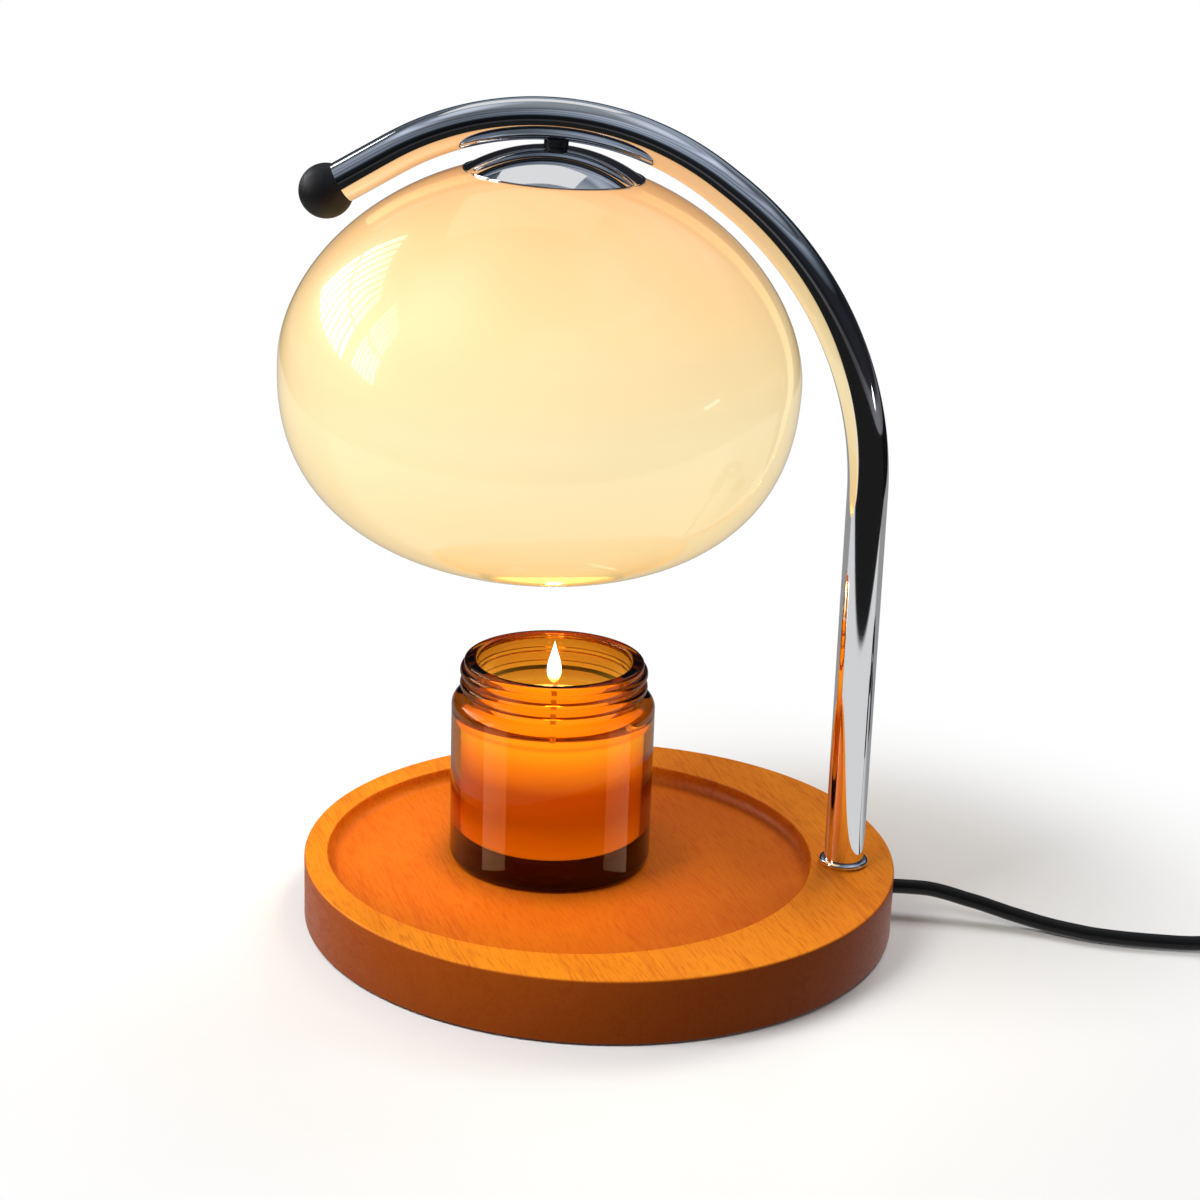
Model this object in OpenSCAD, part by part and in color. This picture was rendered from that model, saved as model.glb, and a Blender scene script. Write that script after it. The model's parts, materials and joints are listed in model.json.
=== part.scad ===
// Candle warmer lamp: round wooden base with a dish, bent tube arm, hanging opal glass shade with a
// reflector bulb, and a candle in a glass jar. Millimetres, +Z up. The origin lies on the table, at the
// centre of the base. +X points to the arm's foot, -Y to the front.

/* [Base] */
// Diameter of the round wooden base
base_d = 180; // [172:1:240]
// Height of the base's top face above the table
base_h = 20; // [19:0.5:30]
// Gap below the wood's edge, left by the pad
base_lift = 0.6; // [0.3:0.1:1]
// Rounding of the base's top edge
base_round = 1.6; // [0.5:0.1:3]
// Width of the plain rim between the dish and the base's far edge
rim_w = 7; // [5:0.5:20]
// Width of wood between the dish and the arm's collar
land_w = 2.4; // [1.5:0.1:6]
// Depth of the dish
dish_depth = 5; // [2:0.5:5.5]
// Radius of the hollow curve between the dish's floor and its wall
dish_cove = 3; // [1:0.5:4]
// Rounding of the dish's upper edge
dish_round = 0.8; // [0.3:0.1:1.5]

/* [Base inside] */
// Width of wood between the ballast plate's far edge and the base's edge
ballast_rim = 28; // [26:0.5:40]
// Distance from the ballast plate's near edge to the arm's centre line
recess_l = 36.6; // [36:0.1:44]
// Thickness of the ballast plate
ballast_t = 6; // [3:0.5:7]
// Gap round the ballast in its pocket
ballast_gap = 2; // [0.5:0.5:4]
// Thickness of the bottom cover sheet
cover_t = 1.5; // [1:0.1:2]
// Width of wood left outside the bottom cover
cover_rim = 4.6; // [3:0.1:5]
// Thickness of the non-slip pad
pad_t = 1.2; // [1.1:0.1:2]
// Width of cover left bare round the pad
pad_rim = 1.2; // [0.5:0.1:4]
// Number of screws that hold the bottom cover
cover_screws_n = 4; // [4:1:4]
// Length of the wood screws
wood_screw_l = 9; // [6:0.5:11]
// Shank diameter of the wood screws
wood_screw_d = 3; // [2:0.1:4]
// Head diameter of the wood screws
wood_screw_head_d = 6; // [5:0.1:8]

/* [Arm] */
// Outer diameter of the arm's tube
arm_d = 12; // [11:0.1:14]
// Wall thickness of the arm's tube
arm_wall = 1.2; // [0.8:0.1:1.5]
// Distance from the base's edge to the arm's centre line
arm_edge = 15.4; // [15:0.1:24]
// Straight rise of the arm above the base
arm_rise = 116.6; // [80:0.2:180]
// Centre line radius of the lower bend
bend1_r = 107; // [90:1:140]
// Angle that the lower bend turns
bend1_a = 54; // [50:0.5:58]
// Straight length between the two bends
arm_mid = 4; // [2:0.5:20]
// Centre line radius of the upper bend
bend2_r = 84.3; // [75:0.1:110]
// Angle that the upper bend turns
bend2_a = 66.5; // [55:0.5:70]
// Straight length from the upper bend to the centre of the end ball
arm_tail = 22.2; // [14:0.1:40]
// Depth of the arm's socket in the wood
socket_depth = 4.5; // [2:0.5:5]
// Diameter of the end ball
ball_d = 15.8; // [15:0.1:24]
// Depth of the arm's end inside the end ball
ball_socket = 2.4; // [1:0.1:4]
// Diameter of the collar at the arm's foot
collar_d = 15; // [14:0.1:19]
// Height of the collar
collar_h = 1.8; // [1:0.1:4]

/* [Arm foot] */
// Thread diameter of the hollow nipple in the arm's foot
nipple_d = 8; // [7:0.1:8.5]
// Bore of the nipple
nipple_bore = 5.2; // [4.6:0.1:5.6]
// Length of the nipple inside the arm
nipple_in = 12; // [6:0.5:20]
// Width across flats of the foot nut
foot_nut_af = 14; // [12:0.5:14]
// Height of the foot nut
foot_nut_h = 3.5; // [2.5:0.1:4]
// Diameter of the foot washer
foot_washer_d = 16; // [13:0.5:16]
// Thickness of the foot washer
foot_washer_t = 1; // [0.5:0.1:1.5]

/* [Shade] */
// Largest diameter of the glass shade
shade_d = 151.4; // [130:0.2:153]
// Height of the full curve above the widest line
shade_up = 61; // [55:0.5:66]
// Depth of the full curve below the widest line
shade_down = 59; // [50:0.5:75]
// Roundness exponent of the upper curve
shade_up_exponent = 1.85; // [1.7:0.05:2.2]
// Roundness exponent of the lower curve
shade_down_exponent = 2.4; // [2:0.05:2.8]
// Wall thickness of the glass
shade_wall = 3; // [2:0.1:4]
// Diameter of the mouth below
mouth_d = 68; // [60:0.5:90]
// Diameter of the hole in the glass's top
shade_hole_d = 40; // [34:0.5:44]
// Thickness of the glass round the top hole
shade_neck_t = 4.4; // [3:0.1:5]
// Tilt of the shade's axis, square to the arm where it hangs
head_tilt = 2.5; // [0:0.1:6]

/* [Shade cap] */
// Diameter of the cap's rim
cap_d = 52; // [46:0.2:60]
// Rise of the cap's dome
cap_rise = 8; // [4.5:0.1:10]
// Sheet thickness of the cap
cap_t = 1; // [0.8:0.1:1.2]
// Height of the stem between the arm and the cap
stem_h = 1.5; // [1:0.1:8]
// Diameter of the stem
stem_d = 7; // [6.8:0.1:9]
// Thread diameter of the hollow hanger stud
stud_d = 6; // [5.4:0.1:6.4]
// Bore of the hanger stud
stud_bore = 3.8; // [3.6:0.1:4.2]
// Width across flats of the hanger nuts
hanger_nut_af = 10; // [9:0.5:11]
// Height of a hanger nut
hanger_nut_h = 2.6; // [2:0.1:2.8]

/* [Lamp holder] */
// Diameter of the carrier plate that clamps the glass
carrier_d = 48; // [44:0.5:50]
// Thickness of the carrier plate
carrier_t = 1.2; // [1:0.1:2]
// Thickness of the silicone gasket
gasket_t = 1; // [0.5:0.1:2]
// Width of the silicone gasket
gasket_w = 3; // [2:0.5:3.5]
// Diameter of the ceramic lamp holder
holder_d = 28; // [27:0.5:36]
// Height of the lamp holder
holder_h = 20; // [18:0.5:26]
// Gap between the carrier's nut and the lamp holder
holder_gap = 0.8; // [0.5:0.1:2]
// Distance of a holder screw from the axis
holder_screw_r = 9; // [8.6:0.1:10]
// Diameter of the holder screws
holder_screw_d = 3; // [2.5:0.1:3]
// Depth of the holder screws in the ceramic
holder_screw_in = 6; // [4:0.5:8]

/* [Bulb] */
// Diameter of the bulb's front
bulb_d = 50; // [40:0.5:51]
// Length of the bulb without its pins
bulb_l = 46; // [40:0.5:50]
// Diameter of the bulb's base
bulb_base_d = 22; // [18:0.5:25]
// Length of the bulb's base
bulb_base_l = 10; // [6:0.5:14]
// Height of the straight band at the bulb's front
bulb_band = 5; // [3:0.5:8]
// Wall thickness of the bulb's reflector
bulb_wall = 1.5; // [1:0.1:2]
// Distance between the bulb's two pins
pin_pitch = 10; // [9.6:0.1:10.4]
// Diameter of a pin's head
pin_head_d = 5; // [4.6:0.1:5.2]
// Diameter of a pin's neck
pin_neck_d = 3; // [2.4:0.1:3.4]
// Length of a pin's neck below its head
pin_neck_l = 2; // [1.6:0.1:3]
// Length of a pin's head
pin_head_l = 4.5; // [3:0.1:5]
// Angle that the bulb turns between unlocked and locked
bulb_turn = 20; // [15:1:25]

/* [Candle] */
// Diameter of the candle jar
jar_d = 61.8; // [50:0.2:70]
// Height of the candle jar
jar_h = 64; // [58:0.5:72]
// Wall thickness of the jar
jar_wall = 2.9; // [2:0.1:4]
// Thickness of the jar's bottom
jar_floor = 8; // [4:0.5:10]
// Height of the jar's straight side
jar_side_h = 49.4; // [42:0.2:50]
// Radius of the jar's shoulder
jar_shoulder = 3.6; // [2:0.1:4]
// Radius of the jar's heel
jar_heel = 3; // [1:0.1:4]
// Diameter of the opening in the jar's neck
jar_mouth_d = 46.8; // [40:0.2:50]
// Height of the beads of the screw neck above its wall
jar_bead = 1.2; // [0.6:0.1:1.5]
// Height of the wax above the jar's floor
wax_h = 37.5; // [20:0.5:38]
// Diameter of the wick
wick_d = 1.8; // [1.4:0.1:2.4]
// Height of the wick above the wax
wick_out = 11.5; // [4:0.5:12]
// Diameter of the metal disc below the wick
sustainer_d = 15; // [12:0.5:24]
// Thickness of that disc
sustainer_t = 0.5; // [0.3:0.1:1]
// Height of the disc's collar round the wick
sustainer_h = 6; // [3:0.5:10]
// Place of the candle in the dish, along X from the dish's centre
candle_x = -6.7; // [-12:0.1:12]
// Place of the candle in the dish, along Y from the dish's centre
candle_y = 6; // [-12:0.1:12]

/* [Cord] */
// Diameter of the mains cord
cord_d = 4.5; // [4:0.1:4.6]
// Place of the cord's hole beside the arm, along Y
cord_y = 11; // [10.6:0.1:14]
// Height of the cord's hole above the table
cord_z = 8; // [7.6:0.1:8.4]
// Wall thickness of the grommet in the cord's hole
grommet_wall = 0.9; // [0.5:0.1:1.2]
// Length of the grommet
grommet_l = 9; // [4:0.5:10]
// Diameter of a conductor with its insulation
wire_d = 1.6; // [1.2:0.1:1.7]
// Length of the cord clamp along the cord
clamp_l = 8; // [5:0.5:10]
// Width of the cord clamp
clamp_w = 18; // [17:0.5:19]
// Thickness of the clamp below the cord
clamp_t = 1.6; // [1:0.1:2.4]
// Centre line radius of the coil's innermost turn
coil_inner = 18; // [18:0.5:24]
// Clear space between two turns of the coil
coil_gap = 0.55; // [0.5:0.05:1]
// Number of turns in the coil
coil_turns = 7.5; // [3.5:2:7.5]
// Thickness of the tie round the coil
tie_t = 0.8; // [0.5:0.1:1.5]
// Width of the tie round the coil
tie_w = 8; // [5:0.5:12]

/* [Dimmer] */
// Length of the dimmer's case
dimmer_l = 50; // [46:1:60]
// Width of the dimmer's case
dimmer_w = 26; // [24:0.5:27]
// Height of the dimmer's case
dimmer_h = 14; // [13:0.5:18]
// Corner radius of the dimmer's case
dimmer_corner = 8; // [4:0.5:10]
// Wall thickness of the dimmer's case
dimmer_wall = 2; // [1.5:0.1:2.2]
// Diameter of the thumb wheel
wheel_d = 31; // [30:0.5:34]
// Thickness of the thumb wheel
wheel_t = 4; // [3:0.1:4.4]
// Number of grip notches in the thumb wheel
wheel_notches = 36; // [18:1:48]
// Radius of a grip notch
wheel_notch_r = 0.7; // [0.4:0.1:0.9]
// Diameter of the post that the thumb wheel turns on
post_d = 4; // [3:0.1:5]
// Length of a cord sleeve at the dimmer's ends
sleeve_l = 12; // [8:0.5:16]

/* [Plug] */
// Width of the plug
plug_w = 35.2; // [30:0.2:40]
// Thickness of the plug
plug_t = 14; // [13:0.2:16]
// Length of the plug's body
plug_l = 34; // [28:0.5:40]
// Length of the plug's pins outside the body
plug_pin_l = 19; // [17:0.5:22]
// Diameter of the plug's pins
plug_pin_d = 4; // [3.6:0.1:4.8]
// Distance between the plug's pins
plug_pin_pitch = 18.6; // [16:0.1:20]

/* [Hidden] */
$fn = 64;
// Radial play of a fixed fit
fit = 0.05;
// Radial play of a turning fit
run_fit = 0.05;
// Gap between faces that move past each other
slip = 0.3;
// Overrun of a cut past the face that it leaves
over = 1;

// Base
base_r = base_d / 2;
arm_x = base_r - arm_edge;
dish_far = base_r - rim_w;
dish_near = arm_x - collar_d / 2 - land_w;
dish_r = (dish_far + dish_near) / 2;
dish_x = (dish_near - dish_far) / 2;
dish_z = base_h - dish_depth;
cover_r = base_r - cover_rim;
cover_z = pad_t;
cover_top = cover_z + cover_t;
recess_x0 = arm_x - recess_l;
ballast_d = recess_x0 + base_r - ballast_rim;
ballast_x = recess_x0 - ballast_d / 2;
pocket_r = ballast_d / 2 + ballast_gap;
pocket_top = cord_z + cord_d / 2;
ballast_z = pocket_top - ballast_t;
ballast_screw_in = 3;
ballast_screw_top = pocket_top + ballast_screw_in;
ballast_screw_share = 0.7;
ballast_screw_a = 45;
cover_screw_r = base_r - cover_rim - wood_screw_head_d;
cover_screw_a = 45;
pilot_tip = 0.5;

// Recess for the wires, the cord and its clamp, between the ballast and the arm's foot
recess_x1 = arm_x + arm_d / 4;
recess_y0 = -foot_nut_af / 2 - ballast_gap;
recess_y1 = cord_y + clamp_w / 2 + ballast_gap;
recess_round = 3;
nut_recess_r = foot_nut_af / sqrt(3) + slip + fit;

// Arm, in the plane y = 0, as [x, z]
arm_r = arm_d / 2;
arm_bore_r = arm_r - arm_wall;
arm_z0 = base_h - socket_depth;
arm_z1 = base_h + arm_rise;
bend1_c = [arm_x - bend1_r, arm_z1];
mid_start = bend1_c + bend1_r * [cos(bend1_a), sin(bend1_a)];
mid_dir = [-sin(bend1_a), cos(bend1_a)];
bend2_c = mid_start + arm_mid * mid_dir - bend2_r * [cos(bend1_a), sin(bend1_a)];
bend_end_a = bend1_a + bend2_a;
bend_end = bend2_c + bend2_r * [cos(bend_end_a), sin(bend_end_a)];
tail_dir = [-sin(bend_end_a), cos(bend_end_a)];
ball_c = bend_end + arm_tail * tail_dir;
ball_r = ball_d / 2;
ball_socket_x = sqrt(ball_r * ball_r - arm_r * arm_r) - ball_socket;
arm_tail_l = arm_tail - ball_socket_x;
spigot_l = arm_d / 2;
seam_step = 0.01;
seam_lap = 0.5;

// Foot of the arm
washer_z = pocket_top - foot_washer_t;
nut_z = washer_z - foot_nut_h;
nipple_z = nut_z - fit * 4;
nipple_r = nipple_d / 2;

// Head: distances h count down the shade's axis from the arm's centre line
head_c = bend2_c + bend2_r * [sin(head_tilt), cos(head_tilt)];
stem_top = arm_r;
crown_h = stem_top + stem_h;
rim_h = crown_h + cap_rise;
cap_r = cap_d / 2;
cap_sphere_r = (cap_r * cap_r + cap_rise * cap_rise) / (2 * cap_rise);
cap_in_r = cap_sphere_r - cap_t;
nut_corner_r = hanger_nut_af / sqrt(3);
cap_nut_h = crown_h + cap_t + cap_in_r - sqrt(cap_in_r * cap_in_r - nut_corner_r * nut_corner_r);
shade_r = shade_d / 2;
shade_flat_z = curve_z(cap_r, shade_r, shade_up, shade_up_exponent);
shade_c_h = rim_h + shade_flat_z;
shade_hole_r = shade_hole_d / 2;
shade_under_h = rim_h + shade_neck_t;
carrier_h = shade_under_h + gasket_t;
carrier_nut_h = carrier_h + carrier_t;
stud_end_h = carrier_nut_h + hanger_nut_h + fit * 4;
holder_top_h = stud_end_h + holder_gap;
holder_end_h = holder_top_h + holder_h;
stud_r = stud_d / 2;
stud_grip = arm_wall + fit * 4;

// Bulb and its lock
bulb_h = holder_end_h + slip;
pin_r = pin_pitch / 2;
pin_ledge_h = holder_end_h - pin_neck_l + slip;
chamber_top_h = pin_ledge_h - pin_head_l - slip;
bulb_r = bulb_d / 2;
bulb_base_r = bulb_base_d / 2;
bulb_flare_shares = [0.2, 0.5, 0.78, 0.94, 1];
lens_t = 2;

// Candle
jar_r = jar_d / 2;
jar_x = dish_x + candle_x;
jar_y = candle_y;
jar_in_r = jar_r - jar_wall;
jar_neck_r = jar_r - jar_shoulder;
jar_neck_z = jar_side_h + jar_shoulder;
jar_mouth_r = jar_mouth_d / 2;
jar_lip = 1;
jar_bead_shares = [0.28, 0.66];
jar_bead_share = 0.4;
wax_r = jar_in_r - fit;
wax_top = jar_floor + wax_h;
wick_r = wick_d / 2;
collar_wall = 0.6;

// Cord: its route from the base to the dimmer, from the dimmer to the coil and from the coil to the plug
cord_r = cord_d / 2;
hole_r = cord_r + grommet_wall;
exit_x = sqrt(base_r * base_r - pow(cord_y + hole_r, 2));
clamp_x = recess_x0 + clamp_l / 2 + cord_y + cord_r;
inner_x = clamp_x - clamp_l / 2 - cord_d / 2;
route_out = [[exit_x, cord_y, cord_z], [95, 10.9, 8.1], [102, 10.3, 8.1], [107.5, 9.4, 7.4],
    [113, 8.2, 6.4], [118, 7, 5.6], [122.5, 5.6, 4.8], [127, 4.2, 4], [132, 2.6, 3.3],
    [136.5, 1, 2.8], [141, -0.6, 2.5], [146, -2.4, 2.4], [151, -4, 2.3], [158, -5.4, 2.3],
    [165, -6.2, 2.3], [174, -6.7, 2.3], [180, -6.9, 2.4], [184.5, -7, 2.8], [188.5, -7, 3.6],
    [192.5, -7, 4.6], [196.5, -7, 5.7], [200.5, -7, 6.6], [205, -7, 7], [210, -7, 7]];
route_lead = [[284, -7, 7], [287, -7, 7], [291, -7, 6.65], [295, -7, 5.75], [299, -7, 4.6],
    [303, -7, 3.7], [307, -7, 3.35], [310, -7, 3.35]];
route_tail = [[310, 66.1, 8.4], [306, 66.1, 8.4], [301, 66.1, 8.3], [296, 66.1, 8], [290, 66.1, 7.5],
    [285, 66.1, 7.1], [280, 66.1, 7], [276, 66.1, 7]];
cord_sides = 10;

// Conductors
wire_r = wire_d / 2;
wire_low_z = cover_top + wire_r + slip;
wire_turn_r = 2.4;
wire_gap = wire_r + fit;
turn_r = cord_y / 2;
turn_x = inner_x - cord_d / 2;
wire_run_share = 0.5;
head_turn_r = 2.4;
head_turn_a = atan(2 * head_turn_r / bend2_r);
wire_in = 4;

// Coil: it spirals in on the lower layer, climbs in half a turn and spirals out on the upper layer
coil_sides = 6;
coil_rings = 24;
coil_soft_share = 0.08;
coil_climb_share = 0.5;
coil_half = coil_turns / 2;
coil_pitch = cord_d + coil_gap;
coil_z = tie_t + slip + cord_r;
coil_x = route_lead[len(route_lead) - 1][0] + cord_d;
coil_outer = coil_radius(0);
coil_y = route_lead[0][1] + coil_outer;
coil_path = concat([coil_point(0) - [cord_d, 0, 0]],
    [for (i = [0:coil_turns * coil_rings]) coil_point(i / coil_rings)],
    [coil_point(coil_turns) - [cord_d, 0, 0]]);
tie_in = sqrt(pow(coil_radius(coil_half - coil_climb_share), 2) - tie_w * tie_w / 4) - cord_r - slip;
tie_out = coil_radius(1 / 4) + cord_r + slip;
tie_top = coil_z + coil_pitch + cord_r + slip;

// Dimmer, in its own frame: the cord runs along X and the case stands on z = 0
dimmer_x = route_out[len(route_out) - 1][0] + sleeve_l + dimmer_l / 2;
dimmer_y = route_lead[0][1];
dimmer_part_z = dimmer_h / 2;
wheel_r = wheel_d / 2;
wheel_z = dimmer_part_z - wheel_t / 2;
post_r = post_d / 2;
boss_r = post_d;
board_t = 1.2;
board_l_share = 0.7;
board_l = dimmer_l * board_l_share;
board_w = dimmer_w - 2 * dimmer_wall - 2 * slip;
case_screw_d = 2.4;
case_screw_head_d = 4.4;
case_screw_share = 0.82;
screw_post_r = 2.6;
sleeve_share = 0.36;
sleeve_r = dimmer_h * sleeve_share;
sleeve_neck = 1.2;
screw_side = dimmer_w / 4;
sleeve_grip = 3;

// Plug, in its own frame: the cord enters along -X
plug_x = route_tail[len(route_tail) - 1][0];
plug_y = route_tail[0][1];
plug_sleeve_l = 14;
plug_sleeve_share = 0.42;
plug_front_share = 0.45;
plug_rear_share = 0.4;
plug_bevel = 2;
plug_pin_in = 10;
pin_tip = 0.6;

function curve_z(x, r, h, n) = h * pow(1 - pow(x / r, n), 1 / n);
function curve_x(z, r, h, n) = r * pow(1 - pow(z / h, n), 1 / n);
function curve(r, h, n, a0, a1, steps = 14) =
    [for (i = [0:steps]) let (a = a0 + (a1 - a0) * i / steps)
        [r * pow(cos(a), 2 / n), h * pow(sin(a), 2 / n)]];
function curve_a(x, r, n) = acos(pow(x / r, n / 2));
function arc(c, r, a0, a1, steps) =
    [for (i = [0:steps]) let (a = a0 + (a1 - a0) * i / steps) c + r * [cos(a), sin(a)]];
function flip(points) = [for (p = points) [p[0], -p[1]]];
function back(list) = [for (i = [len(list) - 1:-1:0]) list[i]];
function unit(v) = v / norm(v);
function clamp01(t) = max(0, min(1, t));
function ease(t) = t * t * (3 - 2 * t);
function coil_radius(t) = coil_inner + coil_pitch * (sqrt(pow(t - coil_half, 2) + pow(coil_soft_share, 2))
    - coil_soft_share);
function coil_point(t) = let (a = 360 * t - 90, r = coil_radius(t))
    [coil_x + r * cos(a), coil_y + r * sin(a),
     coil_z + coil_pitch * ease(clamp01((t - coil_half) / coil_climb_share + 1 / 2))];
function in_plane(points, y) = [for (p = points) [p[0], y, p[1]]];

// Frames carried along a path without twist
function tangents(p) = [for (i = [0:len(p) - 1])
    unit(p[min(i + 1, len(p) - 1)] - p[max(i - 1, 0)])];
function sides_of(t, u0) = [for (i = 0, u = unit(u0 - (u0 * t[0]) * t[0]); i < len(t);
    i = i + 1, u = i < len(t) ? unit(u - (u * t[i]) * t[i]) : u) u];

// Least clear space between the coil's turns, measured on its path's points
coil_gap_found = min([for (i = [0:len(coil_path) - 1], j = [i + coil_rings / 2:len(coil_path) - 1])
    norm(coil_path[i] - coil_path[j])]) - cord_d;
echo(coil_gap_found = coil_gap_found);
function path_length(p) = [for (i = [1:len(p) - 1]) norm(p[i] - p[i - 1])]
    * [for (i = [1:len(p) - 1]) 1];
echo(cord_length = path_length(route_out) + path_length(route_lead) + path_length(coil_path)
    + path_length(route_tail) + dimmer_l + 2 * sleeve_l);

// A tube swept along a path of points, closed at both ends
module swept_tube(path, r, n, first_side) {
    t = tangents(path);
    u = sides_of(t, first_side);
    points = [for (i = [0:len(path) - 1], k = [0:n - 1]) let (a = 360 * k / n)
        path[i] + r * (cos(a) * u[i] + sin(a) * cross(t[i], u[i]))];
    last = len(path) - 1;
    walls = [for (i = [0:last - 1], k = [0:n - 1]) let (m = (k + 1) % n)
        each [[i * n + k, (i + 1) * n + m, i * n + m], [i * n + k, (i + 1) * n + k, (i + 1) * n + m]]];
    caps = [for (k = [1:n - 2])
        each [[0, k, k + 1], [last * n, last * n + k + 1, last * n + k]]];
    polyhedron(points, concat(walls, caps));
}

// A bent stretch of tube in the plane y = 0
module bend(c, bend_r, a0, a1, r) {
    translate([c[0], 0, c[1]]) rotate([90, 0, 0]) rotate([0, 0, a0])
        rotate_extrude(angle = a1 - a0, $fn = 128) translate([bend_r, 0]) circle(r);
}

// The arm's whole run at one radius, grown by a length at both ends. Its straight stretches lap the
// bends and are a hair wider, so that all of them join in one body.
module arm_run(r, grow) {
    straight_r = r + seam_step;
    translate([arm_x, 0, arm_z0 - grow]) cylinder(r = straight_r, h = arm_z1 - arm_z0 + grow + seam_lap);
    bend(bend1_c, bend1_r, 0, bend1_a, r);
    translate([mid_start[0], 0, mid_start[1]]) rotate([0, -bend1_a, 0]) translate([0, 0, -seam_lap])
        cylinder(r = straight_r, h = arm_mid + 2 * seam_lap);
    bend(bend2_c, bend2_r, bend1_a, bend_end_a, r);
    on_tail(-seam_lap) cylinder(r = straight_r, h = arm_tail_l + grow + seam_lap);
}

// Places children on the arm's straight end, with +Z along it
module on_tail(l) {
    translate([bend_end[0], 0, bend_end[1]]) rotate([0, -bend_end_a, 0]) translate([0, 0, l]) children();
}

// Places children on the shade's axis at the distance h below the arm's centre line
module at_head(h) {
    translate([head_c[0], 0, head_c[1]]) rotate([0, head_tilt, 0]) translate([0, 0, -h]) children();
}

module hexagon(af, h) {
    cylinder(r = af / sqrt(3), h = h, $fn = 6);
}

// Plan of a rectangle with round corners
module round_rect(w, l, r) {
    square([w - 2 * r, l], center = true);
    square([w, l - 2 * r], center = true);
    for (x = [-1, 1], y = [-1, 1]) translate([x * (w / 2 - r), y * (l / 2 - r)]) circle(r);
}

module dish_cut() {
    floor_r = dish_r - dish_cove;
    top = base_h + over;
    translate([dish_x, 0, 0]) rotate_extrude($fn = 128) polygon(concat(
        [[0, dish_z]],
        arc([floor_r, dish_z + dish_cove], dish_cove, -90, 0, 6),
        arc([dish_r + dish_round, base_h - dish_round], dish_round, 180, 90, 4),
        [[dish_r + dish_round, top], [0, top]]));
}

module pocket_cut() {
    cut_h = pocket_top - cover_top + over;
    translate([0, 0, cover_top - over]) {
        translate([ballast_x, 0, 0]) cylinder(r = pocket_r, h = cut_h, $fn = 96);
        translate([(recess_x0 + recess_x1) / 2, (recess_y0 + recess_y1) / 2, 0])
            linear_extrude(cut_h)
                round_rect(recess_x1 - recess_x0 + 2 * recess_round, recess_y1 - recess_y0, recess_round);
        translate([arm_x, 0, 0]) cylinder(r = nut_recess_r, h = cut_h);
    }
}

module at_cover_screws() {
    for (i = [0:cover_screws_n - 1]) rotate([0, 0, cover_screw_a + 360 * i / cover_screws_n])
        translate([cover_screw_r, 0, 0]) children();
}

module at_ballast_screws() {
    for (s = [-1, 1]) translate([ballast_x, 0, 0]) rotate([0, 0, ballast_screw_a])
        translate([s * ballast_screw_share * ballast_d / 2, 0, 0]) children();
}

module at_clamp_screws() {
    screw_y = (cord_r + clamp_w / 2) / 2;
    for (s = [-1, 1]) translate([clamp_x, cord_y + s * screw_y, 0]) children();
}

// Countersunk wood screw, head down, its face at z = 0
module wood_screw(l, play) {
    cone_h = (wood_screw_head_d - wood_screw_d) / 2;
    cylinder(r1 = wood_screw_head_d / 2 + play, r2 = wood_screw_d / 2 + play, h = cone_h);
    cylinder(r = wood_screw_d / 2 + play, h = l + (play > 0 ? pilot_tip : 0));
}

module wood_base() {
    color("peru") difference() {
        rotate_extrude($fn = 128) polygon(concat(
            [[0, base_lift], [base_r - base_round / 2, base_lift], [base_r, base_lift + base_round / 2]],
            arc([base_r - base_round, base_h - base_round], base_round, 0, 90, 5),
            [[0, base_h]]));
        dish_cut();
        translate([0, 0, base_lift - over])
            cylinder(r = cover_r + fit, h = cover_top - base_lift + over, $fn = 128);
        pocket_cut();
        translate([arm_x, 0, arm_z0]) cylinder(r = arm_r + fit, h = socket_depth + over);
        translate([arm_x, 0, pocket_top - over])
            cylinder(r = nipple_r + fit, h = arm_z0 - pocket_top + 2 * over);
        translate([exit_x - grommet_l, cord_y, cord_z]) rotate([0, 90, 0])
            cylinder(r = hole_r + fit, h = grommet_l + hole_r + over);
        translate([recess_x1 - over, cord_y, cord_z]) rotate([0, 90, 0])
            cylinder(r = cord_r + fit, h = exit_x - recess_x1);
        translate([0, 0, cover_z]) at_cover_screws() wood_screw(wood_screw_l, fit);
        at_ballast_screws() cylinder(r = wood_screw_d / 2 + fit, h = ballast_screw_top);
        at_clamp_screws() cylinder(r = wood_screw_d / 2 + fit, h = ballast_screw_top);
    }
}

module ballast_plate() {
    color("dimgray") difference() {
        translate([ballast_x, 0, ballast_z]) cylinder(r = ballast_d / 2, h = ballast_t, $fn = 96);
        translate([0, 0, ballast_z]) at_ballast_screws() wood_screw(ballast_t, fit);
    }
}

module ballast_screws() {
    color("silver") translate([0, 0, ballast_z]) at_ballast_screws()
        wood_screw(ballast_t + ballast_screw_in - pilot_tip, 0);
}

module bottom_cover() {
    color("darkslategray") difference() {
        translate([0, 0, cover_z]) cylinder(r = cover_r, h = cover_t, $fn = 128);
        translate([0, 0, cover_z]) at_cover_screws() wood_screw(wood_screw_l, fit);
    }
}

module cover_screws() {
    color("silver") translate([0, 0, cover_z]) at_cover_screws() wood_screw(wood_screw_l, 0);
}

module non_slip_pad() {
    color("black") cylinder(r = cover_r - pad_rim, h = pad_t, $fn = 128);
}

module arm_tube() {
    color("lightgray") difference() {
        arm_run(arm_r, 0);
        arm_run(arm_bore_r, over);
        at_head(arm_r + over) cylinder(r = stud_r + fit, h = arm_r - stud_grip);
    }
}

module arm_collar() {
    edge_r = collar_h / 2;
    color("lightgray") translate([arm_x, 0, base_h]) rotate_extrude() polygon(concat(
        [[arm_r + fit, 0], [collar_d / 2 - edge_r, 0]],
        arc([collar_d / 2 - edge_r, edge_r], edge_r, -90, 90, 8),
        [[arm_r + fit, collar_h]]));
}

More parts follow.
